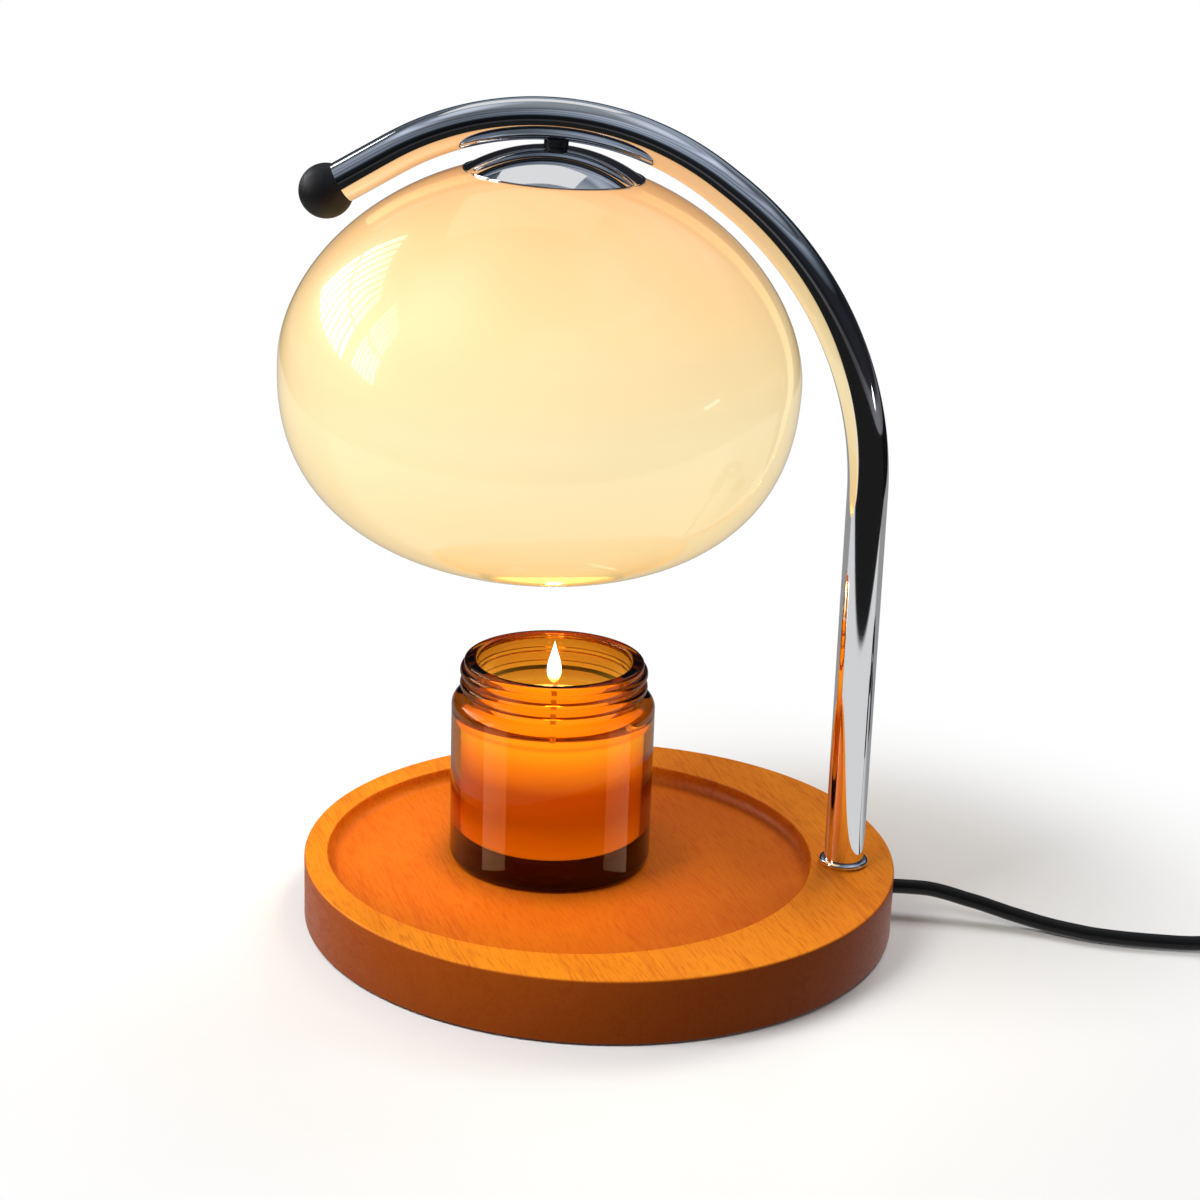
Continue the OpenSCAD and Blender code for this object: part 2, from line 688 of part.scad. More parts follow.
module end_ball() {
    plug_r = arm_bore_r - fit;
    socket_l = ball_r * 2;
    color("black") {
        difference() {
            translate([ball_c[0], 0, ball_c[1]]) sphere(r = ball_r, $fn = 96);
            on_tail(arm_tail_l - socket_l) cylinder(r = arm_r + fit, h = socket_l);
        }
        on_tail(arm_tail_l - spigot_l) cylinder(r = plug_r, h = spigot_l + ball_socket_x / 2);
    }
}

module foot_nipple() {
    color("gold") difference() {
        union() {
            translate([arm_x, 0, nipple_z]) cylinder(r = nipple_r, h = arm_z0 - nipple_z + nipple_in);
            translate([arm_x, 0, arm_z0]) cylinder(r = arm_bore_r - fit, h = nipple_in);
        }
        translate([arm_x, 0, nipple_z - over])
            cylinder(r = nipple_bore / 2, h = arm_z0 - nipple_z + nipple_in + 2 * over);
    }
}

module foot_washer() {
    color("silver") translate([arm_x, 0, washer_z]) difference() {
        cylinder(r = foot_washer_d / 2, h = foot_washer_t);
        translate([0, 0, -over]) cylinder(r = nipple_r + fit, h = foot_washer_t + 2 * over);
    }
}

module foot_nut() {
    color("silver") translate([arm_x, 0, nut_z]) difference() {
        hexagon(foot_nut_af, foot_nut_h);
        translate([0, 0, -over]) cylinder(r = nipple_r + fit, h = foot_nut_h + 2 * over);
    }
}

module cord_grommet() {
    color("black") translate([exit_x - grommet_l, cord_y, cord_z]) rotate([0, 90, 0]) difference() {
        cylinder(r = hole_r, h = grommet_l);
        translate([0, 0, -over]) cylinder(r = cord_r + fit, h = grommet_l + 2 * over);
    }
}

module cord_inner_end() {
    color("black") translate([inner_x, cord_y, cord_z]) rotate([0, 90, 0])
        cylinder(r = cord_r, h = exit_x - inner_x);
}

module cord_clamp() {
    block_h = pocket_top - cord_z + cord_r + clamp_t;
    color("dimgray") difference() {
        translate([clamp_x, cord_y, pocket_top - block_h / 2])
            cube([clamp_l, clamp_w, block_h], center = true);
        translate([clamp_x - clamp_l, cord_y, cord_z]) rotate([0, 90, 0])
            cylinder(r = cord_r + fit, h = 2 * clamp_l);
        translate([clamp_x - clamp_l, cord_y - cord_r - fit, cord_z])
            cube([2 * clamp_l, 2 * (cord_r + fit), pocket_top - cord_z + over]);
        translate([0, 0, pocket_top - block_h]) at_clamp_screws() wood_screw(block_h, fit);
    }
}

module clamp_screws() {
    block_h = pocket_top - cord_z + cord_r + clamp_t;
    color("silver") translate([0, 0, pocket_top - block_h]) at_clamp_screws()
        wood_screw(block_h + ballast_screw_in - pilot_tip, 0);
}

// Path of one conductor, s = 1 or -1 for its side: from the cord's inner end round the recess, up through
// the nipple and the arm, and down through the hanger stud into the lamp holder
function loop_point(a, s) = let (q = (1 - cos(a)) / 2, r = turn_r + s * wire_gap)
    [turn_x - r * sin(a), cord_y / 2 + r * cos(a), cord_z + (wire_low_z - cord_z) * ease(q)];
function head_point(q, h) = [head_c[0] + q * cos(head_tilt) - h * sin(head_tilt),
    head_c[1] - q * sin(head_tilt) - h * cos(head_tilt)];
function wire_path(s) = concat(
    [[inner_x, cord_y + s * wire_gap, cord_z]],
    [for (a = [0:20:180]) loop_point(a, s)],
    in_plane(concat(
        [[turn_x + (arm_x - wire_turn_r - turn_x) * wire_run_share, wire_low_z]],
        arc([arm_x - wire_turn_r, wire_low_z + wire_turn_r], wire_turn_r, -90, 0, 4),
        [[arm_x, (arm_z0 + arm_z1) / 2]],
        arc(bend1_c, bend1_r, 0, bend1_a, 10),
        back(arc(bend2_c, bend2_r, 90 - head_tilt - head_turn_a, bend1_a + head_turn_a, 3)),
        back([for (a = [0:30:90]) head_point(head_turn_r * (1 - sin(90 - a)), head_turn_r * (1 - sin(a)))]),
        [head_point(0, stud_end_h), head_point(0, holder_top_h + wire_in)]), -s * wire_gap));

module arm_wires() {
    color("saddlebrown") for (s = [-1, 1]) swept_tube(wire_path(s), wire_r, coil_sides, [0, 0, 1]);
}

module hanger_stud() {
    color("dimgray") difference() {
        union() {
            at_head(stud_end_h) cylinder(r = stud_r, h = stud_end_h - stem_top + stud_grip);
            at_head(crown_h) cylinder(r = stem_d / 2, h = stem_h);
        }
        at_head(stud_end_h + over) cylinder(r = stud_bore / 2, h = stud_end_h + 2 * over);
    }
}

module hanger_nuts() {
    color("silver") for (h = [cap_nut_h, carrier_nut_h]) at_head(h + hanger_nut_h) difference() {
        hexagon(hanger_nut_af, hanger_nut_h);
        translate([0, 0, -over]) cylinder(r = stud_r + fit, h = hanger_nut_h + 2 * over);
    }
}

module shade_cap() {
    color("lightgray") at_head(rim_h) difference() {
        intersection() {
            translate([0, 0, cap_rise - cap_sphere_r]) sphere(r = cap_sphere_r, $fn = 128);
            cylinder(r = cap_r + over, h = cap_rise + over);
        }
        translate([0, 0, cap_rise - cap_sphere_r]) sphere(r = cap_in_r, $fn = 128);
        cylinder(r = stud_r + fit, h = cap_rise + over);
    }
}

module glass_shade() {
    in_r = shade_r - shade_wall;
    in_up = shade_up - shade_wall;
    in_down = shade_down - shade_wall;
    mouth_r = mouth_d / 2;
    under_z = shade_flat_z - shade_neck_t;
    under_a = curve_a(curve_x(under_z, in_r, in_up, shade_up_exponent), in_r, shade_up_exponent);
    color("cornsilk") at_head(shade_c_h) rotate_extrude($fn = 128) polygon(concat(
        back(curve(shade_r, shade_up, shade_up_exponent, 0, curve_a(cap_r, shade_r, shade_up_exponent))),
        flip(curve(shade_r, shade_down, shade_down_exponent, 0,
            curve_a(mouth_r, shade_r, shade_down_exponent))),
        back(flip(curve(in_r, in_down, shade_down_exponent, 0,
            curve_a(mouth_r, in_r, shade_down_exponent)))),
        curve(in_r, in_up, shade_up_exponent, 0, under_a),
        [[shade_hole_r, under_z], [shade_hole_r, shade_flat_z]]));
}

module shade_gasket() {
    color("whitesmoke") at_head(carrier_h) difference() {
        cylinder(r = shade_hole_r + gasket_w, h = gasket_t);
        translate([0, 0, -over]) cylinder(r = shade_hole_r, h = gasket_t + 2 * over);
    }
}

module at_holder_screws(h) {
    at_head(h) for (s = [-1, 1]) translate([s * holder_screw_r, 0, 0]) children();
}

module carrier_plate() {
    color("silver") difference() {
        at_head(carrier_nut_h) cylinder(r = carrier_d / 2, h = carrier_t);
        at_head(carrier_nut_h + over) cylinder(r = stud_r + fit, h = carrier_t + 2 * over);
        at_holder_screws(carrier_nut_h + over)
            cylinder(r = holder_screw_d / 2 + fit, h = carrier_t + 2 * over);
    }
}

module holder_spacers() {
    color("silver") at_holder_screws(holder_top_h) difference() {
        cylinder(r = holder_screw_d, h = holder_top_h - carrier_nut_h);
        translate([0, 0, -over]) cylinder(r = holder_screw_d / 2 + fit, h = holder_h);
    }
}

module holder_screws() {
    color("silver") {
        at_holder_screws(holder_top_h + holder_screw_in)
            cylinder(r = holder_screw_d / 2, h = holder_top_h + holder_screw_in - carrier_h);
        at_holder_screws(carrier_h) cylinder(r = holder_screw_d, h = holder_screw_d / 2);
    }
}

// Lamp holder: a ring chamber takes the pins' heads. Each pin goes in by a round hole, and its neck turns
// along a slot to its locked place.
module lamp_holder() {
    head_r = pin_head_d / 2 + 2 * slip;
    neck_r = pin_neck_d / 2 + slip;
    chamber_h = pin_ledge_h - chamber_top_h;
    cut_h = over + holder_end_h - pin_ledge_h + chamber_h / 2;
    color("white") difference() {
        at_head(holder_end_h) cylinder(r = holder_d / 2, h = holder_h);
        at_head(holder_top_h + wire_in + over) cylinder(r = stud_bore / 2, h = wire_in + 2 * over);
        at_holder_screws(holder_top_h + holder_screw_in + fit)
            cylinder(r = holder_screw_d / 2 + fit, h = holder_screw_in + over);
        at_head(pin_ledge_h) rotate_extrude() translate([pin_r - head_r, 0])
            square([2 * head_r, chamber_h]);
        at_head(holder_end_h + over) for (s = [0, 180]) rotate([0, 0, s - bulb_turn]) {
            rotate_extrude(angle = bulb_turn + asin(neck_r / pin_r))
                translate([pin_r - neck_r, 0]) square([2 * neck_r, cut_h]);
            translate([pin_r, 0, 0]) cylinder(r = pin_head_d / 2 + slip, h = cut_h);
        }
    }
}

// Outline of the reflector's outside or, drawn in by its wall, of its inside
function reflector(inset) = let (flare_l = bulb_l - bulb_base_l - bulb_band)
    [for (i = [0:len(bulb_flare_shares) - 1])
        [bulb_base_r + (bulb_r - bulb_base_r) * bulb_flare_shares[i] - inset,
         -bulb_base_l - flare_l * (i + 1) / len(bulb_flare_shares)]];

module bulb_reflector() {
    color("lightsteelblue") at_head(bulb_h) rotate_extrude($fn = 96) polygon(concat(
        [[0, 0], [bulb_base_r, 0], [bulb_base_r, -bulb_base_l]],
        reflector(0),
        [[bulb_r, -bulb_l], [bulb_r - bulb_wall, -bulb_l]],
        back(reflector(bulb_wall)),
        [[bulb_base_r - bulb_wall, -bulb_base_l], [0, -bulb_base_l]]));
}

module bulb_lens() {
    color("white") at_head(bulb_h + bulb_l - fit)
        cylinder(r = bulb_r - bulb_wall - fit, h = lens_t, $fn = 96);
}

module bulb_pins() {
    color("gold") at_head(bulb_h) for (s = [-1, 1]) translate([s * pin_r, 0, 0]) {
        cylinder(r = pin_neck_d / 2, h = bulb_h - pin_ledge_h);
        translate([0, 0, bulb_h - pin_ledge_h]) cylinder(r = pin_head_d / 2, h = pin_head_l);
    }
}

module candle_jar() {
    neck_h = jar_h - jar_neck_z;
    in_heel = jar_floor / 2;
    bead_r = neck_h * (jar_bead_shares[1] - jar_bead_shares[0]) * jar_bead_share;
    color("darkorange", 0.6) translate([jar_x, jar_y, dish_z]) rotate_extrude($fn = 128) polygon(concat(
        [[0, 0]],
        arc([jar_r - jar_heel, jar_heel], jar_heel, -90, 0, 6),
        arc([jar_neck_r, jar_side_h], jar_shoulder, 0, 90, 6),
        [for (s = jar_bead_shares) let (z = jar_neck_z + neck_h * s)
            each [for (a = [-90:30:90]) [jar_neck_r + jar_bead * cos(a), z + bead_r * sin(a)]]],
        arc([jar_neck_r - jar_lip, jar_h - jar_lip], jar_lip, 0, 90, 4),
        arc([jar_mouth_r + jar_lip, jar_h - jar_lip], jar_lip, 90, 180, 4),
        [[jar_mouth_r, jar_neck_z]],
        arc([jar_mouth_r, jar_side_h - (jar_in_r - jar_mouth_r)], jar_in_r - jar_mouth_r, 60, 0, 5),
        arc([jar_in_r - in_heel, jar_floor + in_heel], in_heel, 0, -90, 6),
        [[0, jar_floor]]));
}

module candle_wax() {
    in_heel = jar_floor / 2;
    bore_r = wick_r + collar_wall + fit;
    color("orange") translate([jar_x, jar_y, dish_z]) difference() {
        rotate_extrude($fn = 128) polygon(concat(
            [[0, jar_floor]],
            arc([wax_r - in_heel, jar_floor + in_heel], in_heel, -90, 0, 6),
            [[wax_r, wax_top], [0, wax_top]]));
        translate([0, 0, jar_floor - over]) {
            cylinder(r = sustainer_d / 2 + fit, h = sustainer_t + fit + over);
            cylinder(r = bore_r, h = sustainer_h + fit + over);
            cylinder(r = wick_r + fit, h = wax_h + 2 * over);
        }
    }
}

module candle_wick() {
    color("black") translate([jar_x, jar_y, dish_z + jar_floor + sustainer_t])
        cylinder(r = wick_r, h = wax_h - sustainer_t + wick_out);
}

module wick_sustainer() {
    color("silver") translate([jar_x, jar_y, dish_z + jar_floor]) {
        cylinder(r = sustainer_d / 2, h = sustainer_t);
        difference() {
            cylinder(r = wick_r + collar_wall, h = sustainer_h);
            translate([0, 0, sustainer_t]) cylinder(r = wick_r + fit, h = sustainer_h);
        }
    }
}

module supply_cord() {
    color("black") swept_tube(route_out, cord_r, cord_sides, [0, 0, 1]);
}

module coil_lead() {
    color("black") swept_tube(route_lead, cord_r, cord_sides, [0, 0, 1]);
}

module cord_coil() {
    color("black") swept_tube(coil_path, cord_r, coil_sides, [0, 0, 1]);
}

module cord_tail() {
    color("black") swept_tube(route_tail, cord_r, cord_sides, [0, 0, 1]);
}

module cord_tie() {
    w = tie_out - tie_in;
    color("dimgray") translate([coil_x + (tie_in + tie_out) / 2, coil_y, tie_top / 2 + tie_t / 2])
        rotate([90, 0, 0]) linear_extrude(tie_w, center = true) difference() {
            round_rect(w + 2 * tie_t, tie_top + tie_t, 2 * tie_t);
            round_rect(w, tie_top - tie_t, tie_t);
        }
}

module at_dimmer() {
    translate([dimmer_x, dimmer_y, 0]) children();
}

module at_case_screws() {
    for (s = [-1, 1]) translate([s * case_screw_share * dimmer_l / 2, screw_side * s, 0]) children();
}

// Space that the thumb wheel needs, and the holes for the two cord sleeves
module case_cuts() {
    translate([0, 0, wheel_z - slip]) cylinder(r = wheel_r + 2 * slip, h = wheel_t + 2 * slip);
    for (s = [-1, 1]) translate([s * (dimmer_l / 2 - sleeve_grip - over), 0, dimmer_part_z])
        rotate([0, 90 * s, 0]) cylinder(r = cord_r + sleeve_neck + fit, h = sleeve_grip + 2 * over);
}

module case_plan(inset) {
    round_rect(dimmer_l - 2 * inset, dimmer_w - 2 * inset, dimmer_corner - inset);
}

module dimmer_case_bottom() {
    color("black") at_dimmer() {
        difference() {
            linear_extrude(dimmer_part_z) case_plan(0);
            translate([0, 0, dimmer_wall]) linear_extrude(dimmer_part_z) case_plan(dimmer_wall);
            case_cuts();
            at_case_screws() translate([0, 0, -over]) cylinder(r = screw_post_r, h = dimmer_part_z);
        }
        difference() {
            at_case_screws() cylinder(r = screw_post_r, h = dimmer_part_z);
            at_case_screws() translate([0, 0, -over])
                cylinder(r = case_screw_d / 2 + fit, h = dimmer_part_z + 2 * over);
            at_case_screws() translate([0, 0, -over])
                cylinder(r = case_screw_head_d / 2 + fit, h = case_screw_d / 2 + over);
            case_cuts();
        }
        translate([0, 0, dimmer_wall - fit]) cylinder(r = boss_r, h = wheel_z - dimmer_wall - slip + fit);
        translate([0, 0, dimmer_wall - fit])
            cylinder(r = post_r, h = wheel_z + wheel_t - dimmer_wall + slip);
    }
}

module dimmer_case_top() {
    color("black") at_dimmer() difference() {
        translate([0, 0, dimmer_part_z]) linear_extrude(dimmer_h - dimmer_part_z) case_plan(0);
        translate([0, 0, dimmer_part_z - over])
            linear_extrude(dimmer_h - dimmer_part_z - dimmer_wall + over) difference() {
                case_plan(dimmer_wall);
                at_case_screws() circle(screw_post_r);
            }
        case_cuts();
        at_case_screws() translate([0, 0, dimmer_part_z - over])
            cylinder(r = case_screw_d / 2 + fit, h = dimmer_part_z - dimmer_wall);
    }
}

module dimmer_board() {
    color("green") at_dimmer() translate([0, 0, dimmer_wall]) difference() {
        linear_extrude(board_t) square([board_l, board_w], center = true);
        translate([0, 0, -over]) cylinder(r = boss_r + slip, h = board_t + 2 * over);
        at_case_screws() translate([0, 0, -over]) cylinder(r = screw_post_r + slip, h = board_t + 2 * over);
    }
}

module dimmer_wheel() {
    color("dimgray") at_dimmer() translate([0, 0, wheel_z]) difference() {
        cylinder(r = wheel_r, h = wheel_t, $fn = 96);
        translate([0, 0, -over]) cylinder(r = post_r + run_fit, h = wheel_t + 2 * over);
        for (i = [0:wheel_notches - 1]) rotate([0, 0, 360 * i / wheel_notches])
            translate([wheel_r, 0, -over]) cylinder(r = wheel_notch_r, h = wheel_t + 2 * over, $fn = 16);
    }
}

module dimmer_sleeves() {
    color("black") at_dimmer() for (s = [-1, 1]) translate([s * dimmer_l / 2, 0, dimmer_part_z])
        rotate([0, 90 * s, 0]) {
            cylinder(r1 = sleeve_r, r2 = cord_r + sleeve_neck / 2, h = sleeve_l);
            translate([0, 0, -sleeve_grip]) cylinder(r = cord_r + sleeve_neck, h = sleeve_grip);
        }
}

module dimmer_screws() {
    color("silver") at_dimmer() at_case_screws() {
        cylinder(r = case_screw_head_d / 2, h = case_screw_d / 2);
        cylinder(r = case_screw_d / 2, h = dimmer_h - 2 * dimmer_wall);
    }
}

module at_plug() {
    translate([plug_x, plug_y, plug_t / 2]) children();
}

module plug_body() {
    front = plug_w / 2;
    rear = front * plug_rear_share;
    x0 = -plug_sleeve_l;
    x1 = x0 - plug_l;
    xm = x1 + plug_l * plug_front_share;
    color("black") at_plug() difference() {
        union() {
            translate([0, 0, -plug_t / 2]) linear_extrude(plug_t) polygon([
                [x0, rear], [x0, -rear], [xm, -front], [x1 + plug_bevel, -front], [x1, plug_bevel - front],
                [x1, front - plug_bevel], [x1 + plug_bevel, front], [xm, front]]);
            rotate([0, -90, 0]) cylinder(r1 = cord_r + sleeve_neck / 2, r2 = plug_t * plug_sleeve_share,
                h = plug_sleeve_l);
        }
        for (s = [-1, 1]) translate([x1 + plug_pin_in, s * plug_pin_pitch / 2, 0]) rotate([0, -90, 0])
            cylinder(r = plug_pin_d / 2 + fit, h = plug_pin_in + over);
    }
}

module plug_pins() {
    front_x = -plug_sleeve_l - plug_l;
    color("silver") at_plug() for (s = [-1, 1])
        translate([front_x + plug_pin_in, s * plug_pin_pitch / 2, 0]) rotate([0, -90, 0]) {
            cylinder(r = plug_pin_d / 2, h = plug_pin_in + plug_pin_l - pin_tip);
            translate([0, 0, plug_pin_in + plug_pin_l - pin_tip])
                cylinder(r1 = plug_pin_d / 2, r2 = plug_pin_d / 2 - pin_tip, h = pin_tip);
        }
}

wood_base();
ballast_plate();
ballast_screws();
bottom_cover();
cover_screws();
non_slip_pad();
arm_tube();
arm_collar();
end_ball();
foot_nipple();
foot_washer();
foot_nut();
cord_grommet();
cord_inner_end();
cord_clamp();
clamp_screws();
arm_wires();
hanger_stud();
hanger_nuts();
shade_cap();
glass_shade();
shade_gasket();
carrier_plate();
holder_spacers();
holder_screws();
lamp_holder();
bulb_reflector();
bulb_lens();
bulb_pins();
candle_jar();
candle_wax();
candle_wick();
wick_sustainer();
supply_cord();
dimmer_case_bottom();
dimmer_case_top();
dimmer_board();
dimmer_wheel();
dimmer_sleeves();
dimmer_screws();
coil_lead();
cord_coil();
cord_tie();
cord_tail();
plug_body();
plug_pins();
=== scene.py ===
"""Candle warmer lamp: turned wooden base, bent chrome arm, opal glass shade, candle in amber glass, cord.

Run as a script. Most pieces are surfaces of two parameters, worked out with numpy in metres. The dimmer,
the tie and the plug are the CAD's shapes with softened edges, and what no operator makes stays as in the CAD.
"""
import json
import math

import bmesh
import bpy
import numpy as np
from bpy.props import FloatProperty, FloatVectorProperty, IntProperty, PointerProperty
from mathutils import Matrix, Vector


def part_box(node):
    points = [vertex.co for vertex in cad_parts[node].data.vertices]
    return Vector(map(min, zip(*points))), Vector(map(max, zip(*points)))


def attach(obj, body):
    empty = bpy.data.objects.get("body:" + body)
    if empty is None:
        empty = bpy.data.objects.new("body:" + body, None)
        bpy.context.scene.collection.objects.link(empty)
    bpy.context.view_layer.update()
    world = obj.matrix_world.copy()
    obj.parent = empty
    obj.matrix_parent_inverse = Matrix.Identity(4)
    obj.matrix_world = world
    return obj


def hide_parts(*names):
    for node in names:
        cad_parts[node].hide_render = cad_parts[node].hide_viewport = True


bl_info = {
    "name": "Candle Warmer Lamp",
    "version": (1, 0, 0),
    "blender": (4, 5, 0),
    "location": "3D View > Sidebar > Lamp",
    "description": "Builds a candle warmer lamp with a wooden base, a bent arm and a glass shade",
    "category": "Add Mesh",
}

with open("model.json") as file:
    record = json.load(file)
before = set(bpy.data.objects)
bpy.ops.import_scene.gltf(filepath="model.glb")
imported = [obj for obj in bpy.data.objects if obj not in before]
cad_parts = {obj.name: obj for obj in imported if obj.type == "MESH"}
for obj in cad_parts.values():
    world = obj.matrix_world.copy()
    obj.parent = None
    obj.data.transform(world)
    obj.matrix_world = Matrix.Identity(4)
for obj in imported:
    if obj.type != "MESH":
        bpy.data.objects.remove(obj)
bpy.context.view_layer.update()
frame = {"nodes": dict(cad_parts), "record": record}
mm = 0.001
merge_distance = 0.001 * mm

# Joint of the bulb's twist lock: its place is where the shade's axis meets the arm
twist = next(j for j in frame["record"]["behaviour"]["joints"] if j["name"] == "bulb_twist")
head = np.array(twist["pos_m"])
head_up = np.array(twist["axis"]) / np.linalg.norm(twist["axis"])
base_low, base_high = (np.array(c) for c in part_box("wood_base"))
jar_low, jar_high = (np.array(c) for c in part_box("candle_jar"))
wax_low, wax_high = (np.array(c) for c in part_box("candle_wax"))
collar_low, collar_high = (np.array(c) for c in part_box("arm_collar"))
base_r, jar_r, collar_r = ((high[0] - low[0]) / 2 for low, high in (
    (base_low, base_high), (jar_low, jar_high), (collar_low, collar_high)))
base_top = base_high[2]
jar_centre = (jar_low + jar_high) / 2
arm_foot_x = (collar_low[0] + collar_high[0]) / 2


def length(name, default, text):
    """A length property, given in millimetres and kept in metres."""
    return FloatProperty(name=name, description=text, default=default * mm, min=0.0, unit="LENGTH")


def number(name, default, text, unit="NONE"):
    """A number property, with a unit where one fits."""
    return FloatProperty(name=name, description=text, default=default, unit=unit)


def angle(name, default, text):
    """An angle property, given in degrees and kept in radians."""
    return FloatProperty(name=name, description=text, default=math.radians(default), subtype="ANGLE")


def colour(name, default, text):
    """A colour property in linear light."""
    return FloatVectorProperty(name=name, description=text, default=default, min=0, max=1, subtype="COLOR")


class BaseSettings(bpy.types.PropertyGroup):
    edge_round: length("Edge rounding", 0.8, "Rounding of the base's top edge")
    rim: length("Rim", 7.0, "Width of plain rim between the dish and the far edge")
    land: length("Land", 2.4, "Width of wood between the dish and the collar")
    dish_depth: length("Dish depth", 5.0, "Depth of the dish")
    dish_cove: length("Dish cove", 3.0, "Radius of the hollow curve at the dish's wall")
    dish_round: length("Dish edge", 0.5, "Rounding of the dish's upper edge")
    wood_light: colour("Light wood", (0.82, 0.265, 0.011), "Colour of the wood between its grain lines")
    # The dark wood is also the colour that the painted shade in the dish and on the outer side goes towards
    wood_dark: colour("Dark wood", (0.40, 0.052, 0.003), "Colour of the wood's grain lines")


class ArmSettings(bpy.types.PropertyGroup):
    diameter: length("Tube", 12.0, "Diameter of the arm's tube")
    socket: length("Socket", 4.5, "Depth of the arm in the wood")
    rise: length("Rise", 116.6, "Straight rise above the base")
    lower_radius: length("Lower bend", 107.0, "Radius of the lower bend")
    lower_turn: angle("Lower turn", 54.0, "Angle of the lower bend")
    middle: length("Middle", 4.0, "Straight length between the bends")
    upper_radius: length("Upper bend", 84.3, "Radius of the upper bend")
    upper_turn: angle("Upper turn", 66.5, "Angle of the upper bend")
    tail: length("Tail", 22.2, "Straight length to the centre of the ball")
    ball: length("Ball", 15.8, "Diameter of the end ball")
    chrome: colour("Chrome", (0.86, 0.87, 0.89), "Colour of the chrome")


class ShadeSettings(bpy.types.PropertyGroup):
    diameter: length("Diameter", 151.4, "Largest diameter of the glass")
    up: length("Upper height", 61.0, "Height of the full curve above the widest line")
    down: length("Lower height", 59.0, "Depth of the full curve below the widest line")
    up_power: number("Upper roundness", 1.85, "Exponent of the upper curve")
    down_power: number("Lower roundness", 2.4, "Exponent of the lower curve")
    wall: length("Wall", 3.0, "Thickness of the glass")
    mouth: length("Mouth", 68.0, "Diameter of the mouth")
    hole: length("Hole", 40.0, "Diameter of the hole below the cap")
    neck: length("Neck", 4.4, "Thickness of the glass round the hole")
    cap: length("Cap", 52.0, "Diameter of the cap's rim")
    cap_rise: length("Cap rise", 8.0, "Rise of the cap's dome")
    cap_sheet: length("Cap sheet", 1.0, "Thickness of the cap")
    stem: length("Stem", 7.0, "Diameter of the stem")
    stem_height: length("Stem height", 1.5, "Height of the stem between arm and cap")
    milk: colour("Milk glass", (0.28, 0.20, 0.11), "Colour of the milk layer under daylight")
    edge: colour("Glass tint", (1.0, 0.92, 0.80), "Tint of the clear outer layer of the glass")


class BulbSettings(bpy.types.PropertyGroup):
    neck: length("Neck", 22.0, "Diameter of the bulb's neck")
    width: length("Width", 50.0, "Diameter of the reflector's rim")
    height: length("Height", 46.0, "Height of the reflector")
    foot: length("Foot", 10.0, "Height of the straight neck")
    band: length("Band", 5.0, "Height of the straight rim")
    wall: length("Wall", 1.5, "Thickness of the reflector")
    drop: length("Drop", 46.0, "Depth of the bulb's top below the arm's centre line")


class CandleSettings(bpy.types.PropertyGroup):
    wall: length("Wall", 2.9, "Thickness of the jar's wall")
    floor: length("Floor", 8.0, "Thickness of the jar's bottom")
    heel: length("Heel", 3.0, "Rounding of the jar's heel")
    side: length("Side", 49.4, "Height of the jar's straight side")
    shoulder: length("Shoulder", 3.6, "Radius of the jar's shoulder")
    mouth: length("Mouth", 46.8, "Diameter of the jar's mouth")
    bead: length("Bead", 1.2, "Height of the beads on the screw neck")
    wick: length("Wick", 1.8, "Diameter of the wick")
    flame_height: length("Flame", 13.5, "Height of the flame")
    flame_width: length("Flame width", 4.7, "Width of the flame")
    amber: colour("Amber", (0.97, 0.40, 0.025), "Colour that the amber glass lets through")
    wax: colour("Wax", (0.40, 0.22, 0.05), "Colour of the wax")


class CordSettings(bpy.types.PropertyGroup):
    diameter: length("Diameter", 4.5, "Diameter of the cord")
    turns: number("Turns", 7.5, "Turns in the coil")
    inner: length("Inner radius", 18.0, "Centre line radius of the innermost turn")
    gap: length("Gap", 0.55, "Clear space between two turns")
    table_gap: length("Table gap", 1.1, "Space below the coil, where the tie passes")
    rings: IntProperty(name="Rings", description="Points in each turn of the coil", default=48)


class StageSettings(bpy.types.PropertyGroup):
    floor_size: length("Floor", 4000.0, "Width of the floor")
    key: number("Key light", 7.2, "Power of the soft light at the front left, in watts", "POWER")
    fill: number("Fill light", 4.0, "Power of the soft light at the back right, in watts", "POWER")
    bulb: number("Bulb light", 0.03, "Power of the bulb's light, in watts", "POWER")
    flame: number("Flame light", 0.02, "Power of the flame's light, in watts", "POWER")


settings_classes = {"lamp_base": BaseSettings, "lamp_arm": ArmSettings, "lamp_shade": ShadeSettings,
                    "lamp_bulb": BulbSettings, "lamp_candle": CandleSettings, "lamp_cord": CordSettings,
                    "lamp_stage": StageSettings}


def arc(centre, radius, start, end, steps):
    """Points c + r (cos a, sin a), with the angle a going evenly from start to end, in degrees."""
    a = np.radians(np.linspace(start, end, steps))
    return np.asarray(centre) + radius * np.stack([np.cos(a), np.sin(a)], axis=1)


def heading(a):
    """Unit vector (cos a, sin a), with the angle in radians."""
    return np.array([math.cos(a), math.sin(a)])


def super_curve(radius, height, power, x, steps=60):
    """Superellipse x = r cos(t)^(2/n), z = h sin(t)^(2/n), from the given x out to its widest line."""
    t = np.linspace(math.acos((x / radius) ** (power / 2)), 0, steps)
    return np.stack([radius * np.cos(t) ** (2 / power), height * np.sin(t) ** (2 / power)], axis=1)


def circle_rows(rows, columns):
    """Round rows: each row (centre x, centre y, radius, z) becomes c + r (cos v, sin v) at its height."""
    v = np.linspace(0, 2 * math.pi, columns, endpoint=False)
    rows = np.asarray(rows)
    x = rows[:, 0:1] + rows[:, 2:3] * np.cos(v)
    y = rows[:, 1:2] + rows[:, 2:3] * np.sin(v)
    return np.stack([x, y, np.broadcast_to(rows[:, 3:4], x.shape)], axis=-1)


